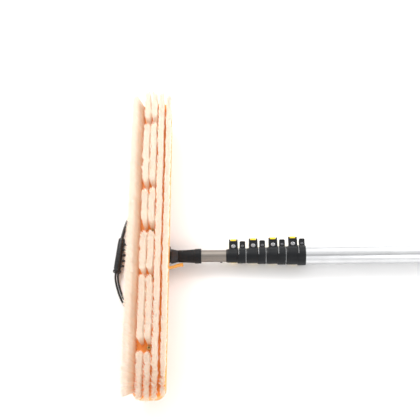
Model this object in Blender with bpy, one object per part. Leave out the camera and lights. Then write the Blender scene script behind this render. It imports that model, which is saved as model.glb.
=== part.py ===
"""Water-fed window cleaning pole with a long brush, telescoped together and lying on the floor.

X runs along the pole from the brush to the butt, Y along the brush and Z up; the floor is z = 0 and
x = y = 0 is the middle of the brush. The brush lies on its back, bristles up, on the foot of its bracket.
Metres throughout.
"""

import math

import bmesh
import bpy
from mathutils import Vector

GAP = 0.0003  # between pieces that touch

# Pole: five nested tubes, number 1 innermost and nearest the brush.
AXIS_Z = 0.024
TUBE_1_OD = 0.023
TUBE_STEP = 0.0031
TUBE_WALL = 0.0012
TUBE_COUNT = 5
TUBE_1_FRONT = 0.0623
BUTT_X = 1.400
TUBE_REAR_STEP = 0.030
TUBE_SIDES = 24
CLAMP_SIDES = 28

# Lever clamps, one on the front end of each tube but the first.
CLAMP_1_X = 0.1385
CLAMP_PITCH = 0.0381
CLAMP_LENGTH = 0.0375
CLAMP_FRONT_LENGTH = 0.0230
CLAMP_SLIT = 0.0012
CLAMP_COLLAR = 0.0010  # thick collar on the front side of the slit
CLAMP_WALL = 0.0014
EAR_X = (0.0052, 0.0223)
EAR_HALF_HEIGHT = 0.0060
EAR_REACH = 0.0118  # from the tension screw to the end of the ear
EAR_CORNER = 0.0022
SPLIT_HALF = 0.0008
LUG_THICK = 0.0024
LOWER_EAR_INSET = 0.0022
LOWER_EAR_SHORTER = 0.0036
REAR_EAR_X = (0.0258, 0.0367)
SCREW_FROM_TUBE = 0.0053
CAM_PIN_BEYOND = 0.0022  # past the end of the ears
CAM_PIN_DROP = 0.0044
CAM_HUB_R = 0.0052
CAM_PIN_R = 0.0016
LEVER_HALF_WIDTH = 0.0055
LEVER_THICK = 0.0030
LEVER_GAP = 0.0009
LEVER_ARM = ((-0.0024, -0.0052), (-0.0070, -0.0078), (-0.0125, -0.0088))  # from the pin
LEVER_ARC_DEG = (76, 120)

# Adapter between the first tube and the brush.
SLEEVE_X = (0.0470, 0.0910)
SLEEVE_BORE_X = 0.0620
SLEEVE_R = (0.0119, 0.0142)
KNUCKLE_X = (0.0330, 0.0467)
TONGUE_HALF = 0.0079
TONGUE_R = 0.0095
PIVOT = (0.0050, 0.0200)  # x and z of the tilt axis
PIVOT_BOLT_R = 0.0030
TILT_PIN_Y = -0.0194
TILT_HUB_R = 0.0050
TILT_LEVER_HALF = 0.0050
TILT_ROUTE = (
    (0.005, -0.0194),
    (0.016, -0.0222),
    (0.028, -0.0219),
    (0.038, -0.0200),
    (0.047, -0.0169),
    (0.056, -0.0156),
)

# Bracket under the brush.
PLATE_X = (-0.0260, 0.0325)
PLATE_HALF_Y = 0.0170
STRIP_HALF_X = 0.0140
STRIP_HALF_Y = 0.0550
PLATE_Z = (0.0300, 0.0357)
CHEEK_Y = (0.0082, 0.0140)
FOOT_X = (-0.0090, 0.0150)
LEGS = (  # low and high X, low and high Y of the legs that keep the brush level on a floor
    (-0.0130, -0.0055, -0.0380, -0.0290),
    (0.0025, 0.0105, 0.0290, 0.0380),
)
BRACKET_SCREW_Y = 0.0450

# Brush.
BLOCK_Y = (-0.280, 0.320)  # a 600 mm brush, held a little off its middle
BLOCK_WIDTH = 0.062
BLOCK_Z = (0.0360, 0.0580)
BLOCK_CORNER = 0.020
TRIM = 0.050  # length of the bristles
ROW_PITCH = 0.0125
ROW_LEANS = (-0.0150, -0.0010, 0.0000, 0.0015, 0.0040)  # how far each row's tips lean along X
ROW_NAMES = ("outer_left", "inner_left", "middle", "inner_right", "outer_right")
ROW_END_INSETS = (0.0105, 0.0040, 0.0030, 0.0040, 0.0105)  # from the block's ends
ROW_ROOT_HALF = 0.0026
ROW_TIP_HALF = 0.0052
GAP_YS = (0.256, 0.118, 0.036, -0.057, -0.191)  # partings in the two rows beside the jets
JET_YS = (0.256, 0.036, -0.057, -0.191)
PARTING_TOP_HALF = 0.0095
PARTING_ROOT_HALF = 0.0060
JET_R = 0.0044
JET_HEIGHT = 0.0055
JET_STEM_R = 0.0015
STRIP_TOP = 0.0020  # of the strip at the foot of a row, above the block

# Hoses at the brush, all lying on the floor.
SUPPLY_R = 0.0032
JET_HOSE_R = 0.0018
CONNECTOR_FAR = Vector((-0.0646, 0.0435, 0.0094))
CONNECTOR_NEAR = Vector((-0.0712, -0.0260, 0.0094))
CONNECTOR_R = 0.0074
FIN_STARTS = (0.0100, 0.0212, 0.0324, 0.0436, 0.0548)  # of the connector's side fins, along it
FIN_WIDTH = 0.0052
FIN_REACH = 0.0125
SUPPLY_ROUTE = (
    (-0.0065, 0.0270, 0.0095),
    (-0.0065, 0.0360, 0.0092),
    (-0.0065, 0.0480, 0.0070),
    (-0.0066, 0.0640, 0.0040),
    (-0.0080, 0.0790, 0.0034),
    (-0.0135, 0.0925, 0.0034),
    (-0.0235, 0.1015, 0.0034),
    (-0.0360, 0.1035, 0.0034),
    (-0.0475, 0.0965, 0.0034),
    (-0.0555, 0.0845, 0.0034),
    (-0.0598, 0.0700, 0.0046),
    (-0.0624, 0.0570, 0.0078),
    (-0.0641, 0.0471, 0.0094),
)
JET_HOSE_ROUTE = (
    (-0.0715, -0.0293, 0.0093),
    (-0.0716, -0.0350, 0.0080),
    (-0.0706, -0.0447, 0.0048),
    (-0.0674, -0.0571, 0.0026),
    (-0.0629, -0.0700, 0.0022),
    (-0.0572, -0.0821, 0.0022),
    (-0.0500, -0.0925, 0.0042),
    (-0.0418, -0.1008, 0.0098),
    (-0.0330, -0.1062, 0.0175),
    (-0.0255, -0.1085, 0.0232),
    (-0.0190, -0.1090, 0.0250),
)
HOSE_PAIR_HALF = 0.0024  # half the distance between the two jet hoses
TAIL_Z = 0.0250
TAIL_X = (-0.0187, -0.0070)
TAIL_SPREAD = 0.0045


# ---------------------------------------------------------------- tools


def clear_scene():
    for obj in list(bpy.data.objects):
        bpy.data.objects.remove(obj, do_unlink=True)


def material(name, colour, roughness, metallic=0.0):
    mat = bpy.data.materials.new(name)
    mat.use_nodes = True
    shader = mat.node_tree.nodes["Principled BSDF"]
    shader.inputs["Base Color"].default_value = (*colour, 1.0)
    shader.inputs["Roughness"].default_value = roughness
    shader.inputs["Metallic"].default_value = metallic
    return mat


def pivot(name, location, parent=None):
    """An empty on a joint's axis, which carries the pieces of one moving body."""
    empty = bpy.data.objects.new(name, None)
    empty.empty_display_size = 0.02
    bpy.context.scene.collection.objects.link(empty)
    empty.parent = parent
    empty.location = Vector(location) - (world_place(parent) if parent else Vector())
    return empty


def world_place(obj):
    place = Vector()
    while obj:
        place += obj.location
        obj = obj.parent
    return place


def add(bm, name, mat, parent, sharp=35.0):
    """Makes an object of a mesh built in world coordinates, with its origin at its parent's."""
    bmesh.ops.remove_doubles(bm, verts=bm.verts, dist=1e-7)
    bmesh.ops.recalc_face_normals(bm, faces=bm.faces)
    bmesh.ops.translate(bm, verts=bm.verts, vec=-world_place(parent))
    mesh = bpy.data.meshes.new(name)
    bm.to_mesh(mesh)
    bm.free()
    if mat:
        mesh.materials.append(mat)
    mesh.shade_smooth()
    mesh.set_sharp_from_angle(angle=math.radians(sharp))
    obj = bpy.data.objects.new(name, mesh)
    bpy.context.scene.collection.objects.link(obj)
    obj.parent = parent
    return obj


def combine(target, bm, operation, solver="EXACT"):
    """Joins the mesh to the target, or cuts it from it, by a Boolean with a hidden helper."""
    label = f"{operation.lower()}_{len(target.modifiers)}"
    helper = add(bm, f"{target.name}_{label}", None, target.parent)
    helper.hide_render = True
    helper.display_type = "WIRE"
    modifier = target.modifiers.new(label, "BOOLEAN")
    modifier.operation = operation
    modifier.solver = solver
    modifier.object = helper


def join(target, bm, solver="EXACT"):
    combine(target, bm, "UNION", solver)


def cut(target, bm, solver="EXACT"):
    combine(target, bm, "DIFFERENCE", solver)


def prism(outline, axis, low, high):
    """A closed outline drawn in the plane across an axis, extruded along the axis from low to high."""
    place = {
        "X": lambda a, b: (low, a, b),
        "Y": lambda a, b: (a, low, b),
        "Z": lambda a, b: (a, b, low),
    }[axis]
    bm = bmesh.new()
    face = bm.faces.new([bm.verts.new(place(a, b)) for a, b in outline])
    moved = bmesh.ops.extrude_face_region(bm, geom=[face])["geom"]
    step = Vector({"X": (1, 0, 0), "Y": (0, 1, 0), "Z": (0, 0, 1)}[axis]) * (high - low)
    bmesh.ops.translate(bm, verts=[v for v in moved if isinstance(v, bmesh.types.BMVert)], vec=step)
    return bm


def turned(profile, centre, axis, sides, ring=False):
    """A profile of (along, radius) points turned round an axis; a ring's profile is a closed loop."""
    axis = Vector(axis).normalized()
    side = axis.orthogonal().normalized()
    bm = bmesh.new()
    verts = [bm.verts.new(Vector(centre) + axis * along + side * radius) for along, radius in profile]
    edges = [bm.edges.new(pair) for pair in zip(verts, verts[1:])]
    if ring:
        edges.append(bm.edges.new((verts[-1], verts[0])))
    bmesh.ops.spin(
        bm, geom=verts + edges, cent=centre, axis=axis, angle=math.tau, steps=sides, use_merge=True
    )
    bmesh.ops.remove_doubles(bm, verts=bm.verts, dist=1e-7)
    return bm


def rod(start, end, radius, sides=12):
    start, end = Vector(start), Vector(end)
    length = (end - start).length
    return turned(((0, 0), (0, radius), (length, radius), (length, 0)), start, end - start, sides)


def rounded_box(low_a, high_a, low_b, high_b, radius, steps=2):
    """The outline of a rectangle with round corners."""
    corners = (
        (high_a - radius, high_b - radius, 0),
        (low_a + radius, high_b - radius, 90),
        (low_a + radius, low_b + radius, 180),
        (high_a - radius, low_b + radius, 270),
    )
    points = []
    for a, b, start in corners:
        for i in range(steps + 1):
            angle = math.radians(start + 90 * i / steps)
            points.append((a + radius * math.cos(angle), b + radius * math.sin(angle)))
    return points


def band(centreline, half_widths):
    """The outline of a strip along a centreline, with a half width at each point."""
    points = [Vector(p) for p in centreline]
    left, right = [], []
    for i, point in enumerate(points):
        along = (points[min(i + 1, len(points) - 1)] - points[max(i - 1, 0)]).normalized()
        across = Vector((-along.y, along.x)) * half_widths[i]
        left.append(tuple(point + across))
        right.append(tuple(point - across))
    return left + right[::-1]


def smooth_route(points, spacing):
    """Points at an even spacing along one smooth curve through the route's points."""
    knots = [Vector(p) for p in points]
    knots = [2 * knots[0] - knots[1], *knots, 2 * knots[-1] - knots[-2]]
    fine = []
    for a, b, c, d in zip(knots, knots[1:], knots[2:], knots[3:]):
        for i in range(24):
            t = i / 24
            fine.append(
                0.5
                * (2 * b + (c - a) * t + (2 * a - 5 * b + 4 * c - d) * t**2 + (3 * b - a - 3 * c + d) * t**3)
            )
    fine.append(knots[-2])
    total = sum((q - p).length for p, q in zip(fine, fine[1:]))
    count = max(2, round(total / spacing))
    route, walked, target = [fine[0]], 0.0, total / count
    for p, q in zip(fine, fine[1:]):
        step = (q - p).length
        while walked + step >= target and len(route) < count:
            route.append(p.lerp(q, (target - walked) / step))
            target += total / count
        walked += step
    return route + [fine[-1]]


def hose(name, route, radius, mat, parent):
    curve = bpy.data.curves.new(name, "CURVE")
    curve.dimensions = "3D"
    curve.bevel_depth = radius
    curve.bevel_resolution = 2
    curve.use_fill_caps = True
    points = [p - world_place(parent) for p in smooth_route(route, 5 * radius)]
    spline = curve.splines.new("POLY")
    spline.points.add(len(points) - 1)
    for knot, point in zip(spline.points, points):
        knot.co = (*point, 1.0)
    curve.materials.append(mat)
    obj = bpy.data.objects.new(name, curve)
    bpy.context.scene.collection.objects.link(obj)
    obj.parent = parent
    return obj


# ---------------------------------------------------------------- sizes that follow from others


def tube_r(number):
    return (TUBE_1_OD + TUBE_STEP * (number - 1)) / 2


def clamp_x(number):
    return CLAMP_1_X + CLAMP_PITCH * (number - 1)


def tube_front(number):
    if number == 1:
        return TUBE_1_FRONT
    return clamp_x(number - 1) + CLAMP_FRONT_LENGTH + 2 * GAP


def tube_rear(number):
    return BUTT_X - TUBE_REAR_STEP * (TUBE_COUNT - number)


def on_axis(x):
    return (x, 0.0, AXIS_Z)


# ---------------------------------------------------------------- pole


def build_tube(number, mat, parent):
    outer, inner = tube_r(number), tube_r(number) - TUBE_WALL
    front, rear = tube_front(number), tube_rear(number)
    profile = ((front, inner), (front, outer), (rear, outer), (rear, inner))
    return add(turned(profile, on_axis(0), (1, 0, 0), TUBE_SIDES, ring=True), f"tube_{number}", mat, parent)


def build_bush(number, mat, parent):
    """The plastic bush in a tube's rear end, which keeps it central in the next tube."""
    inner = tube_r(number) - TUBE_WALL
    bore = inner - 0.0020
    flange = tube_r(number + 1) - TUBE_WALL - 0.0002
    rear = tube_rear(number)
    profile = (
        (rear - 0.0140, bore),
        (rear - 0.0140, inner - GAP),
        (rear + GAP, inner - GAP),
        (rear + GAP, flange),
        (rear + 0.0060, flange),
        (rear + 0.0060, bore),
    )
    bush = turned(profile, on_axis(0), (1, 0, 0), TUBE_SIDES, ring=True)
    add(bush, f"tube_{number}_glide_bush", mat, parent)


def build_clamp(number, mats, parent):
    """A split clamp: its front half grips the inner tube, its rear half is fixed on the outer one."""
    x = clamp_x(number)
    front_r, rear_r = tube_r(number) + GAP, tube_r(number + 1) + GAP
    step_x = x + CLAMP_FRONT_LENGTH + GAP
    end_x = x + CLAMP_LENGTH
    chamfer = 0.0008
    shell = (
        (x, 0),
        (x, front_r + CLAMP_WALL - chamfer),
        (x + chamfer, front_r + CLAMP_WALL),
        (step_x - CLAMP_COLLAR - chamfer, front_r + CLAMP_WALL),
        (step_x - CLAMP_COLLAR, rear_r + CLAMP_WALL),
        (end_x, rear_r + CLAMP_WALL),
        (end_x, 0),
    )
    name = f"clamp_{number}"
    body = add(turned(shell, on_axis(0), (1, 0, 0), CLAMP_SIDES), f"{name}_body", mats["black"], parent)
    screw_y = tube_r(number) + SCREW_FROM_TUBE
    ear_y = screw_y + EAR_REACH
    middle_x = x + sum(EAR_X) / 2
    pin = (ear_y + CAM_PIN_BEYOND, AXIS_Z - CAM_PIN_DROP)
    split = (AXIS_Z - SPLIT_HALF, AXIS_Z + SPLIT_HALF)

    upper = rounded_box(x + EAR_X[0], x + EAR_X[1], 0.004, ear_y, EAR_CORNER)
    join(body, prism(upper, "Z", AXIS_Z - 0.0003, AXIS_Z + EAR_HALF_HEIGHT))
    lower = rounded_box(
        x + EAR_X[0] + LOWER_EAR_INSET,
        x + EAR_X[1] - LOWER_EAR_INSET,
        0.004,
        ear_y - LOWER_EAR_SHORTER,
        EAR_CORNER,
    )
    join(body, prism(lower, "Z", AXIS_Z - EAR_HALF_HEIGHT, AXIS_Z + 0.0003))
    rear = rounded_box(x + REAR_EAR_X[0], x + REAR_EAR_X[1], 0.004, ear_y, EAR_CORNER)
    join(body, prism(rear, "Z", AXIS_Z - EAR_HALF_HEIGHT * 0.8, AXIS_Z + EAR_HALF_HEIGHT * 0.8))
    lug = rounded_box(pin[0] - 0.0070, pin[0] + 0.0026, pin[1] - 0.0028, AXIS_Z + 0.0036, 0.0018, 2)
    for low in (x + EAR_X[0] + GAP, x + EAR_X[1] - GAP - LUG_THICK):
        join(body, prism(lug, "X", low, low + LUG_THICK))

    bore = (
        (x - 0.001, 0),
        (x - 0.001, front_r),
        (step_x, front_r),
        (step_x, rear_r),
        (end_x + 0.001, rear_r),
        (end_x + 0.001, 0),
    )
    cut(body, turned(bore, on_axis(0), (1, 0, 0), CLAMP_SIDES), "MANIFOLD")
    split_outline = ((0.0, split[0]), (0.05, split[0]), (0.05, split[1]), (0.0, split[1]))
    cut(body, prism(split_outline, "X", x - 0.001, end_x + 0.002), "MANIFOLD")
    slit = ((-0.003, -0.001), (0.05, -0.001), (0.05, 0.06), (-0.003, 0.06))
    cut(body, prism(slit, "X", step_x - GAP, step_x + CLAMP_SLIT), "MANIFOLD")
    rear_screw_x = x + sum(REAR_EAR_X) / 2
    cut(body, rod((middle_x, screw_y, 0.0), (middle_x, screw_y, 0.06), 0.0027), "MANIFOLD")
    rear_y = screw_y + 0.001
    cut(body, rod((rear_screw_x, rear_y, 0.0), (rear_screw_x, rear_y, 0.06), 0.0019), "MANIFOLD")
    cut(body, rod((x, *pin), (x + 0.03, *pin), CAM_PIN_R + GAP), "MANIFOLD")

    build_ear_screw(
        f"{name}_tension_screw",
        (middle_x, screw_y),
        EAR_HALF_HEIGHT,
        0.0045,
        0.0024,
        0.0027,
        mats["steel"],
        parent,
    )
    build_ear_screw(
        f"{name}_fixing_screw",
        (rear_screw_x, rear_y),
        EAR_HALF_HEIGHT * 0.8,
        0.0030,
        0.0016,
        0.0019,
        mats["dark_steel"],
        parent,
    )
    ends = (middle_x - 0.0083, middle_x + 0.0083)
    add(rod((ends[0], *pin), (ends[1], *pin), CAM_PIN_R), f"{name}_cam_pin", mats["steel"], parent)
    lever_x = (middle_x - LEVER_HALF_WIDTH, middle_x + LEVER_HALF_WIDTH)
    build_lever(number, pin, lever_x, front_r + CLAMP_WALL, mats["yellow"], parent)


def build_ear_screw(name, place, half_height, head_r, shank_r, head_height, mat, parent):
    """A pan head screw down through both ears, with its nut under the lower one."""
    top = half_height + GAP
    nut = 0.0024
    profile = (
        (-top - nut, 0),
        (-top - nut, head_r * 0.78),
        (-top, head_r * 0.78),
        (-top, shank_r),
        (top, shank_r),
        (top, head_r),
        (top + head_height * 0.5, head_r * 0.96),
        (top + head_height * 0.85, head_r * 0.75),
        (top + head_height, head_r * 0.40),
        (top + head_height, 0),
    )
    add(turned(profile, (*place, AXIS_Z), (0, 0, 1), 12), name, mat, parent)


def build_lever(number, pin, x_range, ring_r, mat, parent):
    """The cam lever: a hub on the cam pin and an arm that wraps under the ring when it is closed."""
    hinge = pivot(f"clamp_{number}_lever_hinge", (sum(x_range) / 2, *pin), parent)
    hub = rod((x_range[0], *pin), (x_range[1], *pin), CAM_HUB_R, 14)
    lever = add(hub, f"clamp_{number}_lever", mat, hinge)
    radius = ring_r + LEVER_GAP + LEVER_THICK / 2
    steps = 6
    start, end = LEVER_ARC_DEG
    arm = [pin] + [(pin[0] + y, pin[1] + z) for y, z in LEVER_ARM]
    for i in range(steps + 1):
        angle = math.radians(start + (end - start) * i / steps)
        arm.append((radius * math.cos(angle), AXIS_Z - radius * math.sin(angle)))
    half = LEVER_THICK / 2
    halves = [half + 0.0006] * 2 + [half] * steps + [LEVER_THICK * 0.6] * 2 + [LEVER_THICK * 0.7]
    join(lever, prism(band(arm, halves), "X", *x_range))
    cut(lever, rod((x_range[0] - 0.001, *pin), (x_range[1] + 0.001, *pin), CAM_PIN_R + GAP))


def build_butt(mats, parent):
    outer = tube_r(TUBE_COUNT)
    grip = (
        (BUTT_X - 0.270, outer + GAP),
        (BUTT_X - 0.268, 0.0208),
        (BUTT_X - 0.262, 0.0212),
        (BUTT_X - 0.0280, 0.0212),
        (BUTT_X - 0.0260, 0.0208),
        (BUTT_X - 0.0260, outer + GAP),
    )
    add(turned(grip, on_axis(0), (1, 0, 0), TUBE_SIDES, ring=True), "butt_grip", mats["rubber"], parent)
    cap_r = AXIS_Z - 0.0001
    cap = (
        (BUTT_X - 0.0250, outer + GAP),
        (BUTT_X - 0.0240, cap_r - 0.0012),
        (BUTT_X - 0.0200, cap_r),
        (BUTT_X + 0.0040, cap_r),
        (BUTT_X + 0.0100, cap_r - 0.0030),
        (BUTT_X + 0.0120, cap_r - 0.0080),
        (BUTT_X + 0.0120, 0.0065),
        (BUTT_X + GAP, 0.0065),
        (BUTT_X + GAP, outer + GAP),
    )
    add(turned(cap, on_axis(0), (1, 0, 0), TUBE_SIDES, ring=True), "butt_cap", mats["rubber"], parent)
    inlet = (
        (BUTT_X - 0.0060, 0),
        (BUTT_X - 0.0060, 0.0105),
        (BUTT_X, 0.0105),
        (BUTT_X, 0.0062),
        (BUTT_X + 0.0150, 0.0062),
        (BUTT_X + 0.0150, 0.0095),
        (BUTT_X + 0.0230, 0.0095),
        (BUTT_X + 0.0230, 0.0056),
        (BUTT_X + 0.0280, 0.0066),
        (BUTT_X + 0.0280, 0.0056),
        (BUTT_X + 0.0330, 0.0066),
        (BUTT_X + 0.0330, 0.0056),
        (BUTT_X + 0.0400, 0.0060),
        (BUTT_X + 0.0420, 0.0045),
        (BUTT_X + 0.0420, 0),
    )
    add(turned(inlet, on_axis(0), (1, 0, 0), 16), "water_inlet_hose_tail", mats["black"], parent)


# ---------------------------------------------------------------- adapter and bracket


def loft(sections):
    """A closed solid through rings of points that all have the same count."""
    bm = bmesh.new()
    rings = [[bm.verts.new(p) for p in section] for section in sections]
    for low, high in zip(rings, rings[1:]):
        for i in range(len(low)):
            j = (i + 1) % len(low)
            bm.faces.new((low[i], low[j], high[j], high[i]))
    bm.faces.new(rings[0][::-1])
    bm.faces.new(rings[-1])
    return bm


def squircle(x, centre_z, half_y, half_z, power, count=24):
    """A ring of points across X, from a circle at power 2 to a box with round corners above it."""
    points = []
    for i in range(count):
        angle = math.tau * i / count
        c, s = math.cos(angle), math.sin(angle)
        reach = (abs(c) ** power + abs(s) ** power) ** (-1 / power)
        points.append((x, half_y * c * reach, centre_z + half_z * s * reach))
    return points


def build_adapter(mats, parent):
    low_r, high_r = SLEEVE_R
    bore = tube_r(1) + GAP
    sleeve = (
        (SLEEVE_X[0], 0),
        (SLEEVE_X[0], low_r - 0.0006),
        (SLEEVE_X[0] + 0.0006, low_r),
        (SLEEVE_X[0] + 0.0150, low_r + 0.0002),
        (SLEEVE_X[1] - 0.0100, high_r - 0.0003),
        (SLEEVE_X[1] - 0.0010, high_r),
        (SLEEVE_X[1], high_r - 0.0006),
        (SLEEVE_X[1], bore),
        (SLEEVE_BORE_X, bore),
        (SLEEVE_BORE_X, 0),
    )
    add(turned(sleeve, on_axis(0), (1, 0, 0), TUBE_SIDES), "adapter_sleeve", mats["black"], parent)

    x, z = PIVOT
    knuckle = loft(
        (
            squircle(KNUCKLE_X[0], AXIS_Z, 0.0126, 0.0098, 7),
            squircle(KNUCKLE_X[0] + 0.0040, AXIS_Z, 0.0122, 0.0104, 5),
            squircle(KNUCKLE_X[0] + 0.0090, AXIS_Z, 0.0116, 0.0112, 3),
            squircle(KNUCKLE_X[1], AXIS_Z, 0.0115, 0.0115, 2),
        )
    )
    tongue = add(knuckle, "angle_joint_tongue", mats["grey"], parent)
    outline = [(KNUCKLE_X[0] + 0.003, z - TONGUE_R), (KNUCKLE_X[0] + 0.003, z + TONGUE_R)]
    steps = 10
    for i in range(steps + 1):
        angle = math.radians(90 + 180 * i / steps)
        outline.append((x + TONGUE_R * math.cos(angle), z + TONGUE_R * math.sin(angle)))
    join(tongue, prism(outline, "Y", -TONGUE_HALF, TONGUE_HALF), "MANIFOLD")
    cut(tongue, rod((x, -0.03, z), (x, 0.03, z), PIVOT_BOLT_R + GAP), "MANIFOLD")

    button_x = 0.1290
    button = ((0, 0), (0, 0.0026), (0.0009, 0.0022), (0.0014, 0.0012), (0.0014, 0))
    down = Vector((0, -math.sin(math.radians(62)), -math.cos(math.radians(62))))
    seat = Vector(on_axis(button_x)) + down * (tube_r(1) + GAP)
    add(turned(button, seat, down, 14), "tube_1_stop_button", mats["black"], parent)


def build_bracket(mats, parent):
    x, z = PIVOT
    low, high = PLATE_Z
    plate = rounded_box(*PLATE_X, -PLATE_HALF_Y, PLATE_HALF_Y, 0.003)
    bracket = add(prism(plate, "Z", low, high), "brush_bracket", mats["black"], parent)
    strip = rounded_box(-STRIP_HALF_X, STRIP_HALF_X, -STRIP_HALF_Y, STRIP_HALF_Y, 0.012)
    join(bracket, prism(strip, "Z", low + 0.0012, high))
    cheek = (
        (FOOT_X[0], 0.0),
        (FOOT_X[1], 0.0),
        (FOOT_X[1] + 0.0090, 0.0120),
        (FOOT_X[1] + 0.0110, low + 0.002),
        (FOOT_X[0] - 0.0100, low + 0.002),
        (FOOT_X[0] - 0.0060, 0.0120),
    )
    for side in (-1, 1):
        span = sorted((side * CHEEK_Y[0], side * CHEEK_Y[1]))
        join(bracket, prism(cheek, "Y", *span))
    bridge = rounded_box(FOOT_X[0] + 0.0005, 0.0015, -0.0100, 0.0100, 0.0010, 2)
    join(bracket, prism(bridge, "Z", 0.0, 0.0036))
    for x_low, x_high, y_low, y_high in LEGS:
        join(bracket, prism(rounded_box(x_low, x_high, y_low, y_high, 0.0015, 2), "Z", 0.0, low + 0.0030))
    cut(bracket, rod((x, -0.03, z), (x, 0.03, z), PIVOT_BOLT_R + GAP))
    for side in (-1, 1):
        y = side * BRACKET_SCREW_Y
        cut(bracket, rod((0, y, 0.02), (0, y, 0.05), 0.0024))
        screw = (
            (0, 0),
            (0, 0.0040),
            (0.0020, 0.0044),
            (0.0028, 0.0044),
            (0.0028, 0.0021),
            (high - low + 0.0060, 0.0021),
            (high - low + 0.0060, 0),
        )
        end = "near" if side < 0 else "far"
        add(turned(screw, (0, y, low - 0.0019), (0, 0, 1), 12), f"bracket_screw_{end}", mats["steel"], parent)

    gland_y = CHEEK_Y[1] + GAP
    gland = ((0, 0), (0, 0.0058), (0.0040, 0.0058), (0.0050, 0.0046), (0.0122, 0.0040), (0.0122, 0))
    add(turned(gland, (-0.0065, gland_y, 0.0095), (0, 1, 0), 14), "supply_hose_gland", mats["black"], parent)


def build_tilt_lock(mats, parent):
    """The pivot bolt, with a cam lever on its near end that locks the tilt."""
    x, z = PIVOT
    face = CHEEK_Y[1] + GAP
    bolt = (
        (-0.0170, 0),
        (-0.0170, PIVOT_BOLT_R),
        (face, PIVOT_BOLT_R),
        (face, 0.0062),
        (face + 0.0030, 0.0062),
        (face + 0.0042, 0.0046),
        (face + 0.0042, 0),
    )
    pivot_bolt = add(turned(bolt, (x, 0, z), (0, 1, 0), 14), "tilt_pivot_bolt", mats["steel"], parent)
    eye = 0.0040
    join(pivot_bolt, rod((x, TILT_PIN_Y, z - 0.0031), (x, TILT_PIN_Y, z + 0.0031), eye, 16))
    cut(pivot_bolt, rod((x, TILT_PIN_Y, z - 0.01), (x, TILT_PIN_Y, z + 0.01), CAM_PIN_R + GAP))
    add(
        rod((x, TILT_PIN_Y, z - 0.0064), (x, TILT_PIN_Y, z + 0.0064), CAM_PIN_R),
        "tilt_lever_pin",
        mats["steel"],
        parent,
    )

    hinge = pivot("tilt_lever_hinge", (x, TILT_PIN_Y, z), parent)
    span = (z - TILT_LEVER_HALF, z + TILT_LEVER_HALF)
    hub = rod((x, TILT_PIN_Y, span[0]), (x, TILT_PIN_Y, span[1]), TILT_HUB_R, 16)
    lever = add(hub, "tilt_lever", mats["amber"], hinge)
    centreline = [(p.x, p.y) for p in smooth_route([(a, b, 0.0) for a, b in TILT_ROUTE], 0.0048)]
    last = len(centreline) - 1
    halves = [0.0024 if i < 2 else 0.0015 + 0.0009 * max(0.0, (i - last + 3) / 3) for i in range(last + 1)]
    join(lever, prism(band(centreline, halves), "Z", *span))
    cut(lever, rod((x, TILT_PIN_Y, z - 0.0034), (x, TILT_PIN_Y, z + 0.0034), eye + 0.0005, 16))
    slot = (
        (x - 0.0070, TILT_PIN_Y - 0.0045),
        (x + 0.0045, TILT_PIN_Y - 0.0045),
        (x + 0.0045, TILT_PIN_Y + 0.0070),
        (x - 0.0070, TILT_PIN_Y + 0.0070),
    )
    cut(lever, prism(slot, "Z", z - 0.0034, z + 0.0034))
    cut(lever, rod((x, TILT_PIN_Y, z - 0.02), (x, TILT_PIN_Y, z + 0.02), CAM_PIN_R + GAP))


# ---------------------------------------------------------------- brush


def build_block(mats, parent):
    half_x = BLOCK_WIDTH / 2
    low, high = BLOCK_Z
    outline = rounded_box(-half_x, half_x, *BLOCK_Y, BLOCK_CORNER, 8)
    block = add(prism(outline, "Z", low, high), "brush_block", mats["orange"], parent)
    bevel = block.modifiers.new("edge", "BEVEL")
    bevel.width = 0.002
    bevel.segments = 1
    bevel.limit_method = "ANGLE"
    for y in JET_YS:
        cut(block, rod((0, y, low - 0.01), (0, y, high + 0.01), JET_STEM_R + GAP, 12))
    for side in (-1, 1):
        y = side * BRACKET_SCREW_Y
        cut(block, rod((0, y, low - 0.01), (0, y, low + 0.0070), 0.0024))
    for y in tail_ys():
        cut(block, rod((TAIL_X[1], y, low - 0.01), (TAIL_X[1], y, low + 0.0060), 0.0024))


def build_row(index, mats, parent):
    """One row of bristles as a plain comb, leaning as its tufts lean."""
    root = BLOCK_Z[1] + GAP
    tip = root + TRIM
    near, far = BLOCK_Y[0] + ROW_END_INSETS[index], BLOCK_Y[1] - ROW_END_INSETS[index]
    outline = [(near, root), (far, root), (far, tip)]
    if index in (1, 2):
        for y in GAP_YS:
            outline += [
                (y + PARTING_TOP_HALF, tip),
                (y + PARTING_ROOT_HALF, root + STRIP_TOP),
                (y - PARTING_ROOT_HALF, root + STRIP_TOP),
                (y - PARTING_TOP_HALF, tip),
            ]
    outline.append((near, tip))
    middle = (index - 2) * ROW_PITCH
    bm = prism(outline, "X", -1.0, 1.0)
    for vert in bm.verts:
        share = (vert.co.z - root) / TRIM
        half_width = ROW_ROOT_HALF + (ROW_TIP_HALF - ROW_ROOT_HALF) * share
        vert.co.x = middle + ROW_LEANS[index] * share + vert.co.x * half_width
    row = add(bm, f"bristle_row_{ROW_NAMES[index]}", mats["bristle"], parent)
    if index == 2:
        for y in JET_YS:
            cut(row, rod((0, y, root - 0.01), (0, y, root + 0.01), JET_STEM_R + GAP, 12))


def build_jet(number, y, mats, parent):
    """A brass jet with its stem down through the block and a small bore in its nose."""
    top = BLOCK_Z[1] + STRIP_TOP + 2 * GAP
    profile = (
        (BLOCK_Z[0] - top + 0.0010, 0),
        (BLOCK_Z[0] - top + 0.0010, JET_STEM_R),
        (0, JET_STEM_R),
        (0, JET_R),
        (JET_HEIGHT - 0.0015, JET_R),
        (JET_HEIGHT, JET_R - 0.0012),
        (JET_HEIGHT, 0.0013),
        (JET_HEIGHT - 0.0040, 0.0013),
        (JET_HEIGHT - 0.0040, 0),
    )
    add(turned(profile, (0, y, top), (0, 0, 1), 14), f"water_jet_{number}", mats["brass"], parent)


# ---------------------------------------------------------------- hoses


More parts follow.
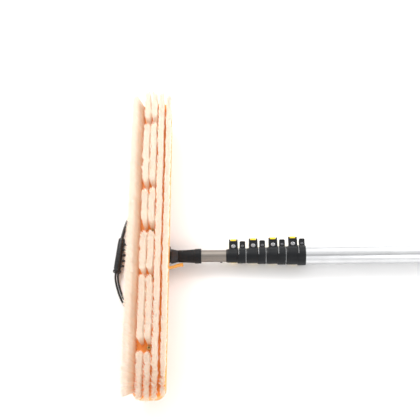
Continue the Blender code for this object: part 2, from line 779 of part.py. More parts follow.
def beside(route, offset):
    """The route moved sideways on the flat, for a hose that runs next to another."""
    points = [Vector(p) for p in route]
    moved = []
    for i, point in enumerate(points):
        along = points[min(i + 1, len(points) - 1)] - points[max(i - 1, 0)]
        across = Vector((-along.y, along.x, 0)).normalized()
        moved.append(point + across * offset)
    return moved


def tail_ys():
    end = JET_HOSE_ROUTE[-1][1]
    return (end - TAIL_SPREAD, end + TAIL_SPREAD)


def build_hoses(mats, parent):
    along = (CONNECTOR_NEAR - CONNECTOR_FAR).normalized()
    length = (CONNECTOR_NEAR - CONNECTOR_FAR).length
    body = (
        (0, 0),
        (0, 0.0056),
        (0.0016, 0.0064),
        (0.0050, 0.0064),
        (0.0060, CONNECTOR_R - 0.0006),
        (length - 0.0070, CONNECTOR_R),
        (length - 0.0060, CONNECTOR_R - 0.0008),
        (length - 0.0036, CONNECTOR_R - 0.0008),
        (length - 0.0030, CONNECTOR_R + 0.0008),
        (length - 0.0006, CONNECTOR_R + 0.0008),
        (length, CONNECTOR_R),
        (length, 0),
    )
    connector = add(turned(body, CONNECTOR_FAR, along, 16), "hose_connector", mats["black"], parent)
    across = Vector((-along.y, along.x, 0)).normalized()
    for start in FIN_STARTS:
        corners = ((start, 0.0), (start, FIN_REACH - 0.0020), (start + 0.0016, FIN_REACH), (start + FIN_WIDTH, 0.0))
        outline = [tuple((CONNECTOR_FAR + along * a + across * b).xy) for a, b in corners]
        join(connector, prism(outline, "Z", CONNECTOR_FAR.z - 0.0042, CONNECTOR_FAR.z + 0.0042))

    supply = [Vector(p) for p in SUPPLY_ROUTE]
    supply[-1] = CONNECTOR_FAR - along * GAP * 2
    hose("supply_hose", supply, SUPPLY_R, mats["rubber"], parent)

    low, high = tail_ys()
    for number, (side, tail_y) in enumerate(((-1, low), (1, high)), 1):
        route = beside(JET_HOSE_ROUTE, side * HOSE_PAIR_HALF)
        route[0] = CONNECTOR_NEAR + along * GAP * 2 + across * side * HOSE_PAIR_HALF
        route[-1] = Vector((TAIL_X[0] - GAP * 2, tail_y, TAIL_Z))
        route[-2] = Vector((TAIL_X[0] - 0.0070, tail_y - side * 0.0004, TAIL_Z - 0.0008))
        hose(f"jet_hose_{number}", route, JET_HOSE_R, mats["rubber"], parent)
        tail = (
            (0, 0),
            (0, 0.0018),
            (0.0040, 0.0028),
            (0.0040, 0.0022),
            (0.0080, 0.0030),
            (0.0120, 0.0030),
            (0.0140, 0.0022),
            (0.0140, 0),
        )
        tail_body = turned(tail, (TAIL_X[0], tail_y, TAIL_Z), (1, 0, 0), 12)
        spigot = add(tail_body, f"jet_hose_tail_{number}", mats["black"], parent)
        post_x, post_top = TAIL_X[1], BLOCK_Z[0] - 2 * GAP
        join(spigot, rod((post_x, tail_y, TAIL_Z - 0.0034), (post_x, tail_y, post_top), 0.0036))
        join(spigot, rod((post_x, tail_y, TAIL_Z), (post_x, tail_y, BLOCK_Z[0] + 0.0050), 0.0021))


# ---------------------------------------------------------------- the whole


def main():
    clear_scene()
    mats = {
        "aluminium": material("bright_aluminium", (0.80, 0.81, 0.82), 0.30, 1.0),
        "warm_aluminium": material("warm_aluminium", (0.50, 0.45, 0.40), 0.42, 1.0),
        "black": material("black_nylon", (0.020, 0.021, 0.023), 0.50),
        "grey": material("grey_nylon", (0.055, 0.055, 0.060), 0.55),
        "rubber": material("black_rubber", (0.018, 0.018, 0.020), 0.70),
        "yellow": material("yellow_plastic", (0.90, 0.66, 0.04), 0.35),
        "amber": material("amber_plastic", (0.85, 0.40, 0.07), 0.38),
        "orange": material("orange_plastic", (0.83, 0.28, 0.04), 0.40),
        "bristle": material("cream_bristle", (0.96, 0.88, 0.74), 0.55),
        "steel": material("zinc_steel", (0.62, 0.62, 0.63), 0.32, 1.0),
        "dark_steel": material("dark_steel", (0.25, 0.25, 0.26), 0.40, 1.0),
        "brass": material("brass", (0.70, 0.52, 0.24), 0.30, 1.0),
    }
    carrier = pivot("base_section", on_axis(tube_front(TUBE_COUNT)))
    build_butt(mats, carrier)
    for number in range(TUBE_COUNT, 0, -1):
        if number < TUBE_COUNT:
            carrier = pivot(f"section_{number}", on_axis(tube_front(number)), carrier)
            build_bush(number, mats["black"], carrier)
        build_tube(number, mats["warm_aluminium" if number == 1 else "aluminium"], carrier)
        if number > 1:
            build_clamp(number - 1, mats, carrier)
    build_adapter(mats, carrier)

    head = pivot("brush_head", (PIVOT[0], 0, PIVOT[1]), carrier)
    build_bracket(mats, head)
    build_tilt_lock(mats, head)
    build_block(mats, head)
    for index in range(len(ROW_NAMES)):
        build_row(index, mats, head)
    for number, y in enumerate(JET_YS, 1):
        build_jet(number, y, mats, head)
    build_hoses(mats, head)


main()
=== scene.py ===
"""The looks of a water-fed window cleaning pole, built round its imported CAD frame.

X runs along the pole from the brush to the butt, Y along the brush and Z up; the floor is z = 0.
Metres throughout, and a profile is a list of (distance along the axis, radius) points.
"""

import math

import bmesh
import bpy
import numpy as np
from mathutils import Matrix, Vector


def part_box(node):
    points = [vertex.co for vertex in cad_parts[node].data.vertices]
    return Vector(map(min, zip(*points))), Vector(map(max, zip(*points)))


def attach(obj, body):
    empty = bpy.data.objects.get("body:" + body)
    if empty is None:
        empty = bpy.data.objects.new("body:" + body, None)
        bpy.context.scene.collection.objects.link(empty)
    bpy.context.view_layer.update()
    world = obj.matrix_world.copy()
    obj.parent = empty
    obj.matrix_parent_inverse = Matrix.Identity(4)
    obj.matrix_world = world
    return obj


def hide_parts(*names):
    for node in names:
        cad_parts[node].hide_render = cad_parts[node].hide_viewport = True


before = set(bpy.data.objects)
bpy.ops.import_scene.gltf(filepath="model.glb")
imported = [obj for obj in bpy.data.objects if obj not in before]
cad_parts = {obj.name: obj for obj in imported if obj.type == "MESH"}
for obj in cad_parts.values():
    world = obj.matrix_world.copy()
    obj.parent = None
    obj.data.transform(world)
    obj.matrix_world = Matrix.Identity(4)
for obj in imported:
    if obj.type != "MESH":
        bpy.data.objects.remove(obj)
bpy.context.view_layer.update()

GAP = 0.0003  # between the meshes of neighbouring pieces
TUBE_WALL = 0.0012
SECTION_OF = {5: "base_section", 4: "section_4", 3: "section_3", 2: "section_2", 1: "section_1"}
CLAMPS = range(1, 5)

# Where things are, from the frame.
tube_box = {n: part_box(f"tube_{n}") for n in SECTION_OF}
tube_r = {n: (high.y - low.y) / 2 for n, (low, high) in tube_box.items()}
block_low, block_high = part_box("brush_block")
AXIS_Z = tube_box[1][0].z + (tube_box[1][1].z - tube_box[1][0].z) / 2
POLE = (0, 0, AXIS_Z)
X_AXIS, Y_AXIS, Z_AXIS = (1, 0, 0), (0, 1, 0), (0, 0, 1)


def middle(node):
    """The middle of a CAD node's box."""
    low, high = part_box(node)
    return (low + high) / 2


# -------- outlines


def rectangle(low_a, high_a, low_b, high_b):
    return [(low_a, low_b), (high_a, low_b), (high_a, high_b), (low_a, high_b)]


def rounded_box(low_a, high_a, low_b, high_b, radius, steps=8):
    """A rectangle's outline with round corners."""
    corners = (
        (high_a - radius, high_b - radius, 0),
        (low_a + radius, high_b - radius, 90),
        (low_a + radius, low_b + radius, 180),
        (high_a - radius, low_b + radius, 270),
    )
    points = []
    for a, b, start in corners:
        for i in range(steps + 1):
            angle = math.radians(start + 90 * i / steps)
            points.append((a + radius * math.cos(angle), b + radius * math.sin(angle)))
    return points


def rounded_profile(points, radius, steps=3):
    """The profile with each inner corner rounded a little."""
    made = [points[0]]
    for before, corner, after in zip(points, points[1:], points[2:]):
        before, corner, after = Vector(before), Vector(corner), Vector(after)
        reach = min(radius, (before - corner).length * 0.45, (after - corner).length * 0.45)
        start = corner + (before - corner).normalized() * reach
        end = corner + (after - corner).normalized() * reach
        for i in range(steps + 1):
            t = i / steps
            made.append(tuple((1 - t) ** 2 * start + 2 * t * (1 - t) * corner + t * t * end))
    return made + [points[-1]]


def squircle(x, half_y, half_z, power, count=64):
    """A ring round the pole's axis, between a circle at power 2 and a box at high powers."""
    points = []
    for i in range(count):
        angle = math.tau * i / count
        c, s = math.cos(angle), math.sin(angle)
        reach = (abs(c) ** power + abs(s) ** power) ** (-1 / power)
        points.append((x, half_y * c * reach, AXIS_Z + half_z * s * reach))
    return points


def around(points, i):
    """The step from the point before number i to the point after it."""
    return points[min(i + 1, len(points) - 1)] - points[max(i - 1, 0)]


def band(centreline, half_widths):
    """The outline of a flat strip along a centreline, with a half width at each point."""
    points = [Vector(p) for p in centreline]
    left, right = [], []
    for i, point in enumerate(points):
        along = around(points, i).normalized()
        across = Vector((-along.y, along.x)) * half_widths[i]
        left.append(tuple(point + across))
        right.append(tuple(point - across))
    return left + right[::-1]


def smooth_route(points, spacing):
    """Points at an even spacing along one smooth curve through the route's points."""
    knots = [Vector(p) for p in points]
    knots = [2 * knots[0] - knots[1], *knots, 2 * knots[-1] - knots[-2]]
    fine = []
    for a, b, c, d in zip(knots, knots[1:], knots[2:], knots[3:]):
        for i in range(24):
            t = i / 24
            cubic = (3 * b - a - 3 * c + d) * t**3
            fine.append(0.5 * (2 * b + (c - a) * t + (2 * a - 5 * b + 4 * c - d) * t**2 + cubic))
    fine.append(knots[-2])
    total = route_length(fine)
    count = max(2, round(total / spacing))
    route, walked, target = [fine[0]], 0.0, total / count
    for p, q in zip(fine, fine[1:]):
        step = (q - p).length
        while walked + step >= target and len(route) < count:
            route.append(p.lerp(q, (target - walked) / step))
            target += total / count
        walked += step
    return route + [fine[-1]]


def flat_route(points, spacing):
    """A smooth route in a plane, from and to pairs of numbers."""
    return [(p.x, p.y) for p in smooth_route([(a, b, 0.0) for a, b in points], spacing)]


def route_length(points):
    return sum((b - a).length for a, b in zip(points, points[1:]))


# -------- solids


def prism(outline, axis, low, high):
    """A closed outline drawn in the plane across an axis, extruded along the axis from low to high."""
    place = {
        "X": lambda a, b: (low, a, b),
        "Y": lambda a, b: (a, low, b),
        "Z": lambda a, b: (a, b, low),
    }[axis]
    bm = bmesh.new()
    face = bm.faces.new([bm.verts.new(place(a, b)) for a, b in outline])
    moved = bmesh.ops.extrude_face_region(bm, geom=[face])["geom"]
    step = Vector({"X": X_AXIS, "Y": Y_AXIS, "Z": Z_AXIS}[axis]) * (high - low)
    bmesh.ops.translate(bm, verts=[v for v in moved if isinstance(v, bmesh.types.BMVert)], vec=step)
    bmesh.ops.recalc_face_normals(bm, faces=bm.faces)
    return bm


def soften(bm, width, segments=2, angle=40):
    """Rounds the mesh's sharp edges."""
    edges = [e for e in bm.edges if e.is_manifold and e.calc_face_angle(0.0) > math.radians(angle)]
    bmesh.ops.bevel(
        bm, geom=edges, offset=width, offset_type="OFFSET", segments=segments, profile=0.5, affect="EDGES"
    )
    return bm


def slab(low_x, high_x, low_y, high_y, corner, low_z, high_z, edge):
    """A flat-topped block with round corners and softened edges."""
    return soften(prism(rounded_box(low_x, high_x, low_y, high_y, corner), "Z", low_z, high_z), edge)


def turned(profile, centre, axis, sides, ring=False):
    """A profile turned round an axis through the centre; a ring's profile is a closed loop."""
    axis = Vector(axis).normalized()
    side = axis.orthogonal().normalized()
    bm = bmesh.new()
    verts = [bm.verts.new(Vector(centre) + axis * along + side * radius) for along, radius in profile]
    edges = [bm.edges.new(pair) for pair in zip(verts, verts[1:])]
    if ring:
        edges.append(bm.edges.new((verts[-1], verts[0])))
    bmesh.ops.spin(
        bm, geom=verts + edges, cent=centre, axis=axis, angle=math.tau, steps=sides, use_merge=True
    )
    bmesh.ops.remove_doubles(bm, verts=bm.verts, dist=1e-7)
    bmesh.ops.recalc_face_normals(bm, faces=bm.faces)
    return bm


def rod(start, end, radius, sides=48, edge=0.0):
    """A cylinder between two points, with the edges of its ends cut off by edge."""
    start, end = Vector(start), Vector(end)
    length = (end - start).length
    profile = [(0, 0), (0, radius), (length, radius), (length, 0)]
    if edge:
        profile[1:3] = [(0, radius - edge), (edge, radius), (length - edge, radius), (length, radius - edge)]
    return turned(profile, start, end - start, sides)


def upright(x, y, low, high, radius, sides=32, edge=0.0):
    return rod((x, y, low), (x, y, high), radius, sides, edge)


def cross_recess(x, y, low, high, reach, width):
    """The two bars that cut a cross recess into a screw's head."""
    return [
        prism(rectangle(x - half_x, x + half_x, y - half_y, y + half_y), "Z", low, high)
        for half_x, half_y in ((reach, width), (width, reach))
    ]


def close_rings(bm, rings):
    """Skins rings of vertices that all have the same count, and closes both ends."""
    for low, high in zip(rings, rings[1:]):
        for i in range(len(low)):
            j = (i + 1) % len(low)
            bm.faces.new((low[i], low[j], high[j], high[i]))
    bm.faces.new(rings[0][::-1])
    bm.faces.new(rings[-1])
    bmesh.ops.recalc_face_normals(bm, faces=bm.faces)
    return bm


def loft(sections):
    bm = bmesh.new()
    return close_rings(bm, [[bm.verts.new(p) for p in section] for section in sections])


def new_object(name, mesh):
    obj = bpy.data.objects.new(name, mesh)
    bpy.context.scene.collection.objects.link(obj)
    return obj


def object_of(bm, name):
    mesh = bpy.data.meshes.new(name)
    bm.to_mesh(mesh)
    bm.free()
    return new_object(name, mesh)


def carve(obj, joins, cuts):
    """Joins solids to the object's mesh, then cuts others out of it."""
    plain = obj.data
    helpers = []
    for operation, parts in (("UNION", joins), ("DIFFERENCE", cuts)):
        for part in parts:
            helper = object_of(part, f"{obj.name}_helper")
            modifier = obj.modifiers.new("step", "BOOLEAN")
            modifier.operation = operation
            modifier.solver = "MANIFOLD"
            modifier.object = helper
            helpers.append(helper)
    graph = bpy.context.evaluated_depsgraph_get()
    made = bpy.data.meshes.new_from_object(obj.evaluated_get(graph))
    obj.modifiers.clear()
    obj.data = made
    bpy.data.meshes.remove(plain)
    for helper in helpers:
        data = helper.data
        bpy.data.objects.remove(helper)
        bpy.data.meshes.remove(data)


def settle(obj, look, body, node):
    """Gives an object its look, and has it ride on a body in place of a CAD node."""
    slot, material = LOOKS[look]
    obj.data.materials.clear()
    obj.data.materials.append(material)
    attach(obj, body)
    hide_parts(node)


def piece(bm, name, look, body, node, joins=(), cuts=(), sharp=32.0):
    """Makes one piece of a mesh and of the solids that it joins and cuts."""
    obj = object_of(bm, name)
    if joins or cuts:
        carve(obj, joins, cuts)
    obj.data.shade_smooth()
    obj.data.set_sharp_from_angle(angle=math.radians(sharp))
    settle(obj, look, body, node)
    return obj


# -------- materials


class Shader:
    """A Principled material with a few short ways to add nodes."""

    def __init__(self, name, roughness, metallic=0.0, coat=0.0):
        self.mat = bpy.data.materials.new(name)
        self.mat.use_nodes = True
        self.nodes = self.mat.node_tree.nodes
        self.main = self.nodes["Principled BSDF"]
        self.set("Roughness", roughness)
        self.set("Metallic", metallic)
        self.set("Coat Weight", coat)
        self.place = self.add("ShaderNodeTexCoord").outputs["Object"]

    def set(self, socket, value):
        self.main.inputs[socket].default_value = value

    def add(self, kind):
        return self.nodes.new(kind)

    def link(self, a, b):
        self.mat.node_tree.links.new(a, b)

    def stretched(self, scale):
        node = self.add("ShaderNodeMapping")
        node.inputs["Scale"].default_value = scale
        self.link(self.place, node.inputs["Vector"])
        return node.outputs["Vector"]

    def noise(self, scale, detail=3.0, rough=0.55, vector=None):
        node = self.add("ShaderNodeTexNoise")
        node.inputs["Scale"].default_value = scale
        node.inputs["Detail"].default_value = detail
        node.inputs["Roughness"].default_value = rough
        self.link(vector or self.place, node.inputs["Vector"])
        return node.outputs["Fac"]

    def ramp(self, value, *stops):
        node = self.add("ShaderNodeValToRGB")
        elements = node.color_ramp.elements
        while len(elements) < len(stops):
            elements.new(0.5)
        for element, (position, colour) in zip(elements, stops):
            element.position = position
            element.color = (*colour, 1.0)
        self.link(value, node.inputs["Fac"])
        return node.outputs["Color"]

    def range(self, value, low, high, to_low, to_high):
        node = self.add("ShaderNodeMapRange")
        for socket, number in zip(node.inputs[1:5], (low, high, to_low, to_high)):
            socket.default_value = number
        self.link(value, node.inputs["Value"])
        return node.outputs["Result"]

    def mix(self, factor, a, b):
        node = self.add("ShaderNodeMix")
        node.data_type = "RGBA"
        for socket, value in ((node.inputs[0], factor), (node.inputs[6], a), (node.inputs[7], b)):
            if isinstance(value, bpy.types.NodeSocket):
                self.link(value, socket)
            else:
                socket.default_value = (*value, 1.0) if isinstance(value, tuple) else value
        return node.outputs[2]

    def colour(self, socket):
        self.link(socket, self.main.inputs["Base Color"])

    def painted_glow(self, socket, strength):
        """Painted glow: a little of the colour given back as light, standing in for the light that thin or
        bright plastic lets through and bounces.
        """
        self.link(socket, self.main.inputs["Emission Color"])
        self.set("Emission Strength", strength)

    def roughness(self, socket, low, high):
        self.link(self.range(socket, 0.3, 0.7, low, high), self.main.inputs["Roughness"])

    def bump(self, height, distance, strength=0.5):
        node = self.add("ShaderNodeBump")
        node.inputs["Strength"].default_value = strength
        node.inputs["Distance"].default_value = distance
        self.link(height, node.inputs["Height"])
        if self.main.inputs["Normal"].is_linked:
            self.link(self.main.inputs["Normal"].links[0].from_socket, node.inputs["Normal"])
        self.link(node.outputs["Normal"], self.main.inputs["Normal"])


def shade(colour, factor):
    return tuple(min(1.0, c * factor) for c in colour)


DUST = (0.55, 0.53, 0.50)


def plastic(name, colour, roughness, coat=0.0, dust=0.05, shine=0.5, painted_glow=0.0):
    """Moulded plastic: a fine grain, faint flow marks and a little dust that takes off the shine."""
    s = Shader(name, roughness, coat=coat)
    s.set("Specular IOR Level", shine)
    flow = s.range(s.noise(60, 4), 0.35, 0.65, 0, 1)
    base = s.mix(flow, shade(colour, 0.88), shade(colour, 1.10))
    s.colour(s.mix(s.range(s.noise(230, 5, 0.7), 0.52, 0.80, 0.0, dust), base, DUST))
    # Painted glow: part of the colour is given back as light, so shaded plastic looks lit.
    s.painted_glow(base, painted_glow)
    s.roughness(s.noise(420, 4), roughness - 0.07, roughness + 0.09)
    s.bump(s.noise(1800, 2), 0.00002)
    s.bump(s.noise(90, 2), 0.00012, 0.25)
    return s.mat


def metal(name, colour, roughness, along=(1, 1, 1), painted_crevice_shade=0.0):
    """Metal with drawn or turned marks, long where along is small, and painted shade that darkens its
    crevices.
    """
    s = Shader(name, roughness, metallic=1.0)
    marks = s.noise(900, 3, 0.6, s.stretched(along))
    patches = s.range(s.noise(35, 3), 0.3, 0.7, 0, 1)
    base = s.mix(patches, shade(colour, 0.94), shade(colour, 1.06))
    base = s.mix(s.range(marks, 0.3, 0.7, 0.0, 0.18), base, shade(colour, 0.72))
    if painted_crevice_shade:
        # Painted shade: the colour goes nearly black where ambient occlusion finds a crevice or hole.
        crevice_shade_occlusion = s.add("ShaderNodeAmbientOcclusion")
        crevice_shade_occlusion.inputs["Distance"].default_value = painted_crevice_shade
        base = s.mix(s.range(crevice_shade_occlusion.outputs["AO"], 0.25, 0.60, 0, 1), shade(colour, 0.02), base)
    s.colour(base)
    s.roughness(marks, roughness - 0.06, roughness + 0.10)
    s.bump(marks, 0.000006)
    return s.mat


def rubber(name, colour, roughness):
    """Rubber that greys in patches, with a fine matt grain."""
    s = Shader(name, roughness)
    greyed = s.range(s.noise(120, 5, 0.65), 0.45, 0.75, 0, 0.5)
    s.colour(s.mix(greyed, colour, shade(colour, 2.2)))
    s.roughness(s.noise(500, 3), roughness - 0.08, roughness + 0.08)
    s.bump(s.noise(2500, 2), 0.00003)
    return s.mat


def bristle(name, tip, root, root_z, blend):
    """Cream filaments, with the block's colour painted into their roots as a painted reflection, and a
    painted glow for light that passes through them.
    """
    s = Shader(name, 0.48)
    split = s.add("ShaderNodeSeparateXYZ")
    s.link(s.place, split.inputs["Vector"])
    # Painted reflection: the colour runs from the block's orange at the roots to cream above them.
    height = s.range(split.outputs["Z"], root_z, root_z + blend, 0, 1)
    between = tuple(0.45 * r + 0.55 * t for r, t in zip(root, tip))
    base = s.ramp(height, (0.0, root), (0.35, between), (1.0, tip))
    tone = s.add("ShaderNodeAttribute")
    tone.attribute_name = "tone"
    base = s.mix(s.range(tone.outputs["Fac"], 0.5, 1, 0.0, 0.24), base, shade(root, 0.9))
    s.colour(base)
    # Painted glow: part of the colour given back as light, for light that passes through the filaments.
    s.painted_glow(base, 0.165)
    s.roughness(s.noise(700, 2), 0.40, 0.60)
    s.bump(s.noise(6000, 1), 0.00002, 0.4)
    s.set("Sheen Weight", 0.15)
    s.set("Subsurface Weight", 0.5)
    s.set("Subsurface Radius", (0.004, 0.003, 0.002))
    s.set("Subsurface Scale", 1.0)
    return s.mat


DRAWN = (0.015, 1.0, 1.0)
# The roots' orange is a painted reflection of the block in the filaments.
CREAM, ROOT_REFLECTION_ORANGE = (1.0, 0.865, 0.73), (0.98, 0.48, 0.18)

# Each look: its slot name, and the material.
LOOKS = {
    "tube": ("bright_aluminium", metal("anodised_tube", (0.67, 0.675, 0.685), 0.31, DRAWN)),
    # The first tube's darker, warmer colour is painted shade and a painted reflection of the orange brush.
    "tube_1": ("warm_aluminium", metal("first_tube_painted_shade_and_reflection", (0.285, 0.255, 0.228), 0.42, DRAWN)),
    "steel": ("zinc_steel", metal("zinc_steel", (0.36, 0.36, 0.37), 0.36)),
    "dark_steel": ("dark_steel", metal("dark_steel", (0.15, 0.15, 0.16), 0.38)),
    # The brass jets' dark mouths are painted shade.
    "brass": ("brass", metal("machined_brass", (0.78, 0.58, 0.26), 0.26, painted_crevice_shade=0.0030)),
    "black": (
        "black_nylon",
        plastic("black_nylon", (0.0085, 0.009, 0.0105), 0.46, dust=0.012, shine=0.2),
    ),
    "clamp": (
        "black_nylon",
        plastic("black_nylon_clamps", (0.008, 0.009, 0.0105), 0.40, dust=0.012, shine=0.22),
    ),
    "connector": (
        "black_nylon",
        plastic("connector_nylon", (0.012, 0.012, 0.014), 0.30, dust=0.01, shine=0.45),
    ),
    "grey": ("grey_nylon", plastic("grey_nylon", (0.030, 0.030, 0.034), 0.50, dust=0.02, shine=0.3)),
    "yellow": ("yellow_plastic", plastic("yellow_lever", (0.93, 0.66, 0.025), 0.33, coat=0.15, dust=0.02)),
    "amber": ("amber_plastic", plastic("amber_lever", (0.86, 0.40, 0.055), 0.34, coat=0.15, dust=0.02)),
    # The orange block's glow is painted light: it brightens the block where the rows shade it.
    "orange": (
        "orange_plastic",
        plastic("orange_block", (0.90, 0.33, 0.06), 0.40, coat=0.1, dust=0.03, painted_glow=0.13),
    ),
    "rubber": ("black_rubber", rubber("black_rubber", (0.017, 0.017, 0.019), 0.62)),
    "hose": ("black_rubber", rubber("hose_rubber", (0.013, 0.013, 0.015), 0.32)),
    "bristle": ("cream_bristle", bristle("cream_bristle", CREAM, ROOT_REFLECTION_ORANGE, block_high.z, 0.026)),
}


# -------- tubes and butt


def build_tube(number):
    low, high = tube_box[number]
    outer = tube_r[number]
    inner = outer - TUBE_WALL
    edge = 0.0003
    profile = (
        (low.x, inner),
        (low.x, outer - edge),
        (low.x + edge, outer),
        (high.x - edge, outer),
        (high.x, outer - edge),
        (high.x, inner),
    )
    # The first tube takes the look with painted shade and a painted reflection.
    look = "tube_1" if number == 1 else "tube"
    tube = turned(profile, POLE, X_AXIS, 96, ring=True)
    piece(tube, f"drawn_tube_{number}", look, SECTION_OF[number], f"tube_{number}")


def build_glide_bush(number):
    """The bush plugs into a tube's rear end, and its flange runs in the next tube."""
    low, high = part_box(f"tube_{number}_glide_bush")
    inner = tube_r[number] - TUBE_WALL
    rear = tube_box[number][1].x
    flange = (high.y - low.y) / 2
    bore = inner - 0.0020
    profile = (
        (low.x, bore),
        (low.x, inner - GAP),
        (rear + GAP, inner - GAP),
        (rear + GAP, flange),
        (high.x, flange),
        (high.x, bore),
    )
    bush = soften(turned(profile, POLE, X_AXIS, 72, ring=True), 0.0004)
    piece(bush, f"glide_bush_{number}", "black", SECTION_OF[number], f"tube_{number}_glide_bush")


def build_grip():
    low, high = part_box("butt_grip")
    inner, outer = tube_r[5] + GAP, (high.y - low.y) / 2
    ends, groove, ribs, steps_per_rib = 0.008, 0.0010, 46, 4
    steps = ribs * steps_per_rib
    profile = [(low.x, inner), (low.x, outer - 0.0012), (low.x + 0.002, outer)]
    for i in range(steps + 1):
        x = low.x + ends + (high.x - low.x - 2 * ends) * i / steps
        profile.append((x, outer - (groove if i % steps_per_rib == 0 else 0.0)))
    profile += [(high.x - 0.002, outer), (high.x, outer - 0.0012), (high.x, inner)]
    grip = turned(profile, POLE, X_AXIS, 72, ring=True)
    piece(grip, "ribbed_grip", "rubber", "base_section", "butt_grip")


def build_butt_cap():
    """A rubber cap with finger notches round it, and a hole for the inlet's neck."""
    low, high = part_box("butt_cap")
    inner, outer, hole = tube_r[5] + GAP, (high.y - low.y) / 2, 0.0068
    tube_end = tube_box[5][1].x + GAP
    profile = [
        (low.x, inner),
        (low.x, outer - 0.0014),
        (low.x + 0.004, outer),
        (high.x - 0.008, outer),
        (high.x - 0.002, outer - 0.003),
        (high.x, outer - 0.008),
        (high.x, hole),
        (tube_end, hole),
        (tube_end, inner),
    ]
    notches = []
    for i in range(16):
        angle = math.tau * (i + 0.5) / 16
        across = Vector((0, math.cos(angle), math.sin(angle)))
        centre = Vector(POLE) + across * (outer + 0.0012)
        start, end = Vector((low.x + 0.006, 0, 0)), Vector((high.x - 0.012, 0, 0))
        notches.append(rod(centre + start, centre + end, 0.0020, 16))
    cap = turned(rounded_profile(profile, 0.001), POLE, X_AXIS, 96, ring=True)
    piece(cap, "ribbed_butt_cap", "rubber", "base_section", "butt_cap", cuts=notches)


def build_inlet():
    """The barbed tail that the supply hose is pushed over, with its collar and its plug in the tube."""
    low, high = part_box("water_inlet_hose_tail")
    root = tube_box[5][1].x
    neck_end, collar_end = root + 0.015, root + 0.023
    plug_r, neck_r, collar_r, stem_r, barb_r, bore = 0.0105, 0.0062, 0.0095, 0.0056, 0.0068, 0.0032
    profile = [(low.x, 0), (low.x, plug_r), (root, plug_r), (root, neck_r), (neck_end, neck_r)]
    profile += [(neck_end, collar_r), (collar_end, collar_r), (collar_end, stem_r)]
    for barb in range(3):
        start = root + 0.0245 + 0.0050 * barb
        profile += [(start, stem_r), (start, barb_r), (start + 0.0045, stem_r)]
    profile += [(high.x - 0.0010, 0.0054), (high.x, 0.0048), (high.x, bore)]
    profile += [(high.x - 0.03, bore), (high.x - 0.03, 0)]
    tail = turned(profile, POLE, X_AXIS, 48)
    piece(tail, "inlet_tail", "black", "base_section", "water_inlet_hose_tail")


for number in SECTION_OF:
    build_tube(number)
for number in CLAMPS:
    build_glide_bush(number)
build_grip()
build_butt_cap()
build_inlet()


# -------- clamps

# Along the pole from the clamp's front face, and up from the pole's axis.
RING_WALL = 0.0014
RING_STEP = 0.0230
FRONT_EAR = (0.0052, 0.0223)
REAR_EAR = (0.0258, 0.0367)
EAR_HALF = 0.0060
REAR_HALF = EAR_HALF * 0.8
EAR_ROOT = 0.004
EAR_CORNER = 0.0024
RIM, REAR_RIM = 0.0021, 0.0016
SEAT, REAR_SEAT = EAR_HALF - 0.0009, REAR_HALF - 0.0008
PIN_HOLE_R = 0.0019
LEVER_ARC_DEG = (76, 120)
LEVER_NECK = ((-0.0024, -0.0052), (-0.0070, -0.0078), (-0.0125, -0.0088))
ARM_HALF = 0.0015


def ear_block(low_x, high_x, high_y, low_z, high_z):
    return slab(low_x, high_x, EAR_ROOT, high_y, EAR_CORNER, AXIS_Z + low_z, AXIS_Z + high_z, 0.0007)


def clamp_joins(low, pin_y, pin_z, ear_y):
    """The two ears, which the split parts, and the two lugs that hold the lever's pin."""
    front = (low.x + FRONT_EAR[0], low.x + FRONT_EAR[1])
    rear = (low.x + REAR_EAR[0], low.x + REAR_EAR[1])
    joins = [
        ear_block(*front, ear_y, -0.0003, EAR_HALF),
        ear_block(front[0] + 0.0022, front[1] - 0.0022, ear_y - 0.0036, -EAR_HALF, 0.0003),
        ear_block(*rear, ear_y, -REAR_HALF, REAR_HALF),
    ]
    lug = rounded_box(pin_y - 0.0070, pin_y + 0.0026, pin_z - 0.0028, AXIS_Z + 0.0036, 0.0022, 6)
    thick = 0.0024
    for start in (front[0] + GAP, front[1] - GAP - thick):
        joins.append(prism(lug, "X", start, start + thick))
    return joins


def clamp_cuts(number, low, high, pin_y, pin_z, ear_y):
    """The bore, the split, the slit between the ring's halves, the ears' pockets and the holes."""
    front_r, rear_r = tube_r[number] + GAP, tube_r[number + 1] + GAP
    step_x = low.x + RING_STEP + GAP
    bore = (
        (low.x - 0.001, 0),
        (low.x - 0.001, front_r),
        (step_x, front_r),
        (step_x, rear_r),
        (high.x + 0.001, rear_r),
        (high.x + 0.001, 0),
    )
    split = rectangle(0.0, 0.05, AXIS_Z - 0.0008, AXIS_Z + 0.0008)
    slit = rectangle(-0.003, 0.05, -0.001, 0.06)
    front = (low.x + FRONT_EAR[0] + RIM, low.x + FRONT_EAR[1] - RIM)
    rear = (low.x + REAR_EAR[0] + REAR_RIM, low.x + REAR_EAR[1] - REAR_RIM)
    pocket = rounded_box(*front, front_r + RING_WALL + 0.0006, ear_y - RIM, 0.0018, 6)
    rear_pocket = rounded_box(*rear, rear_r + RING_WALL + 0.0006, ear_y - REAR_RIM, 0.0014, 6)
    over = AXIS_Z + EAR_HALF + 0.002
    screw, small_screw = middle(f"clamp_{number}_tension_screw"), middle(f"clamp_{number}_fixing_screw")
    return [
        turned(bore, POLE, X_AXIS, 112),
        prism(split, "X", low.x - 0.001, high.x + 0.002),
        prism(slit, "X", step_x - GAP, step_x + 0.0012),
        prism(pocket, "Z", AXIS_Z + SEAT, over),
        prism(rear_pocket, "Z", AXIS_Z + REAR_SEAT, over),
        upright(screw.x, screw.y, 0.0, 0.06, 0.0027),
        upright(small_screw.x, small_screw.y, 0.0, 0.06, 0.0019),
        rod((low.x, pin_y, pin_z), (low.x + 0.03, pin_y, pin_z), PIN_HOLE_R, 32),
    ]


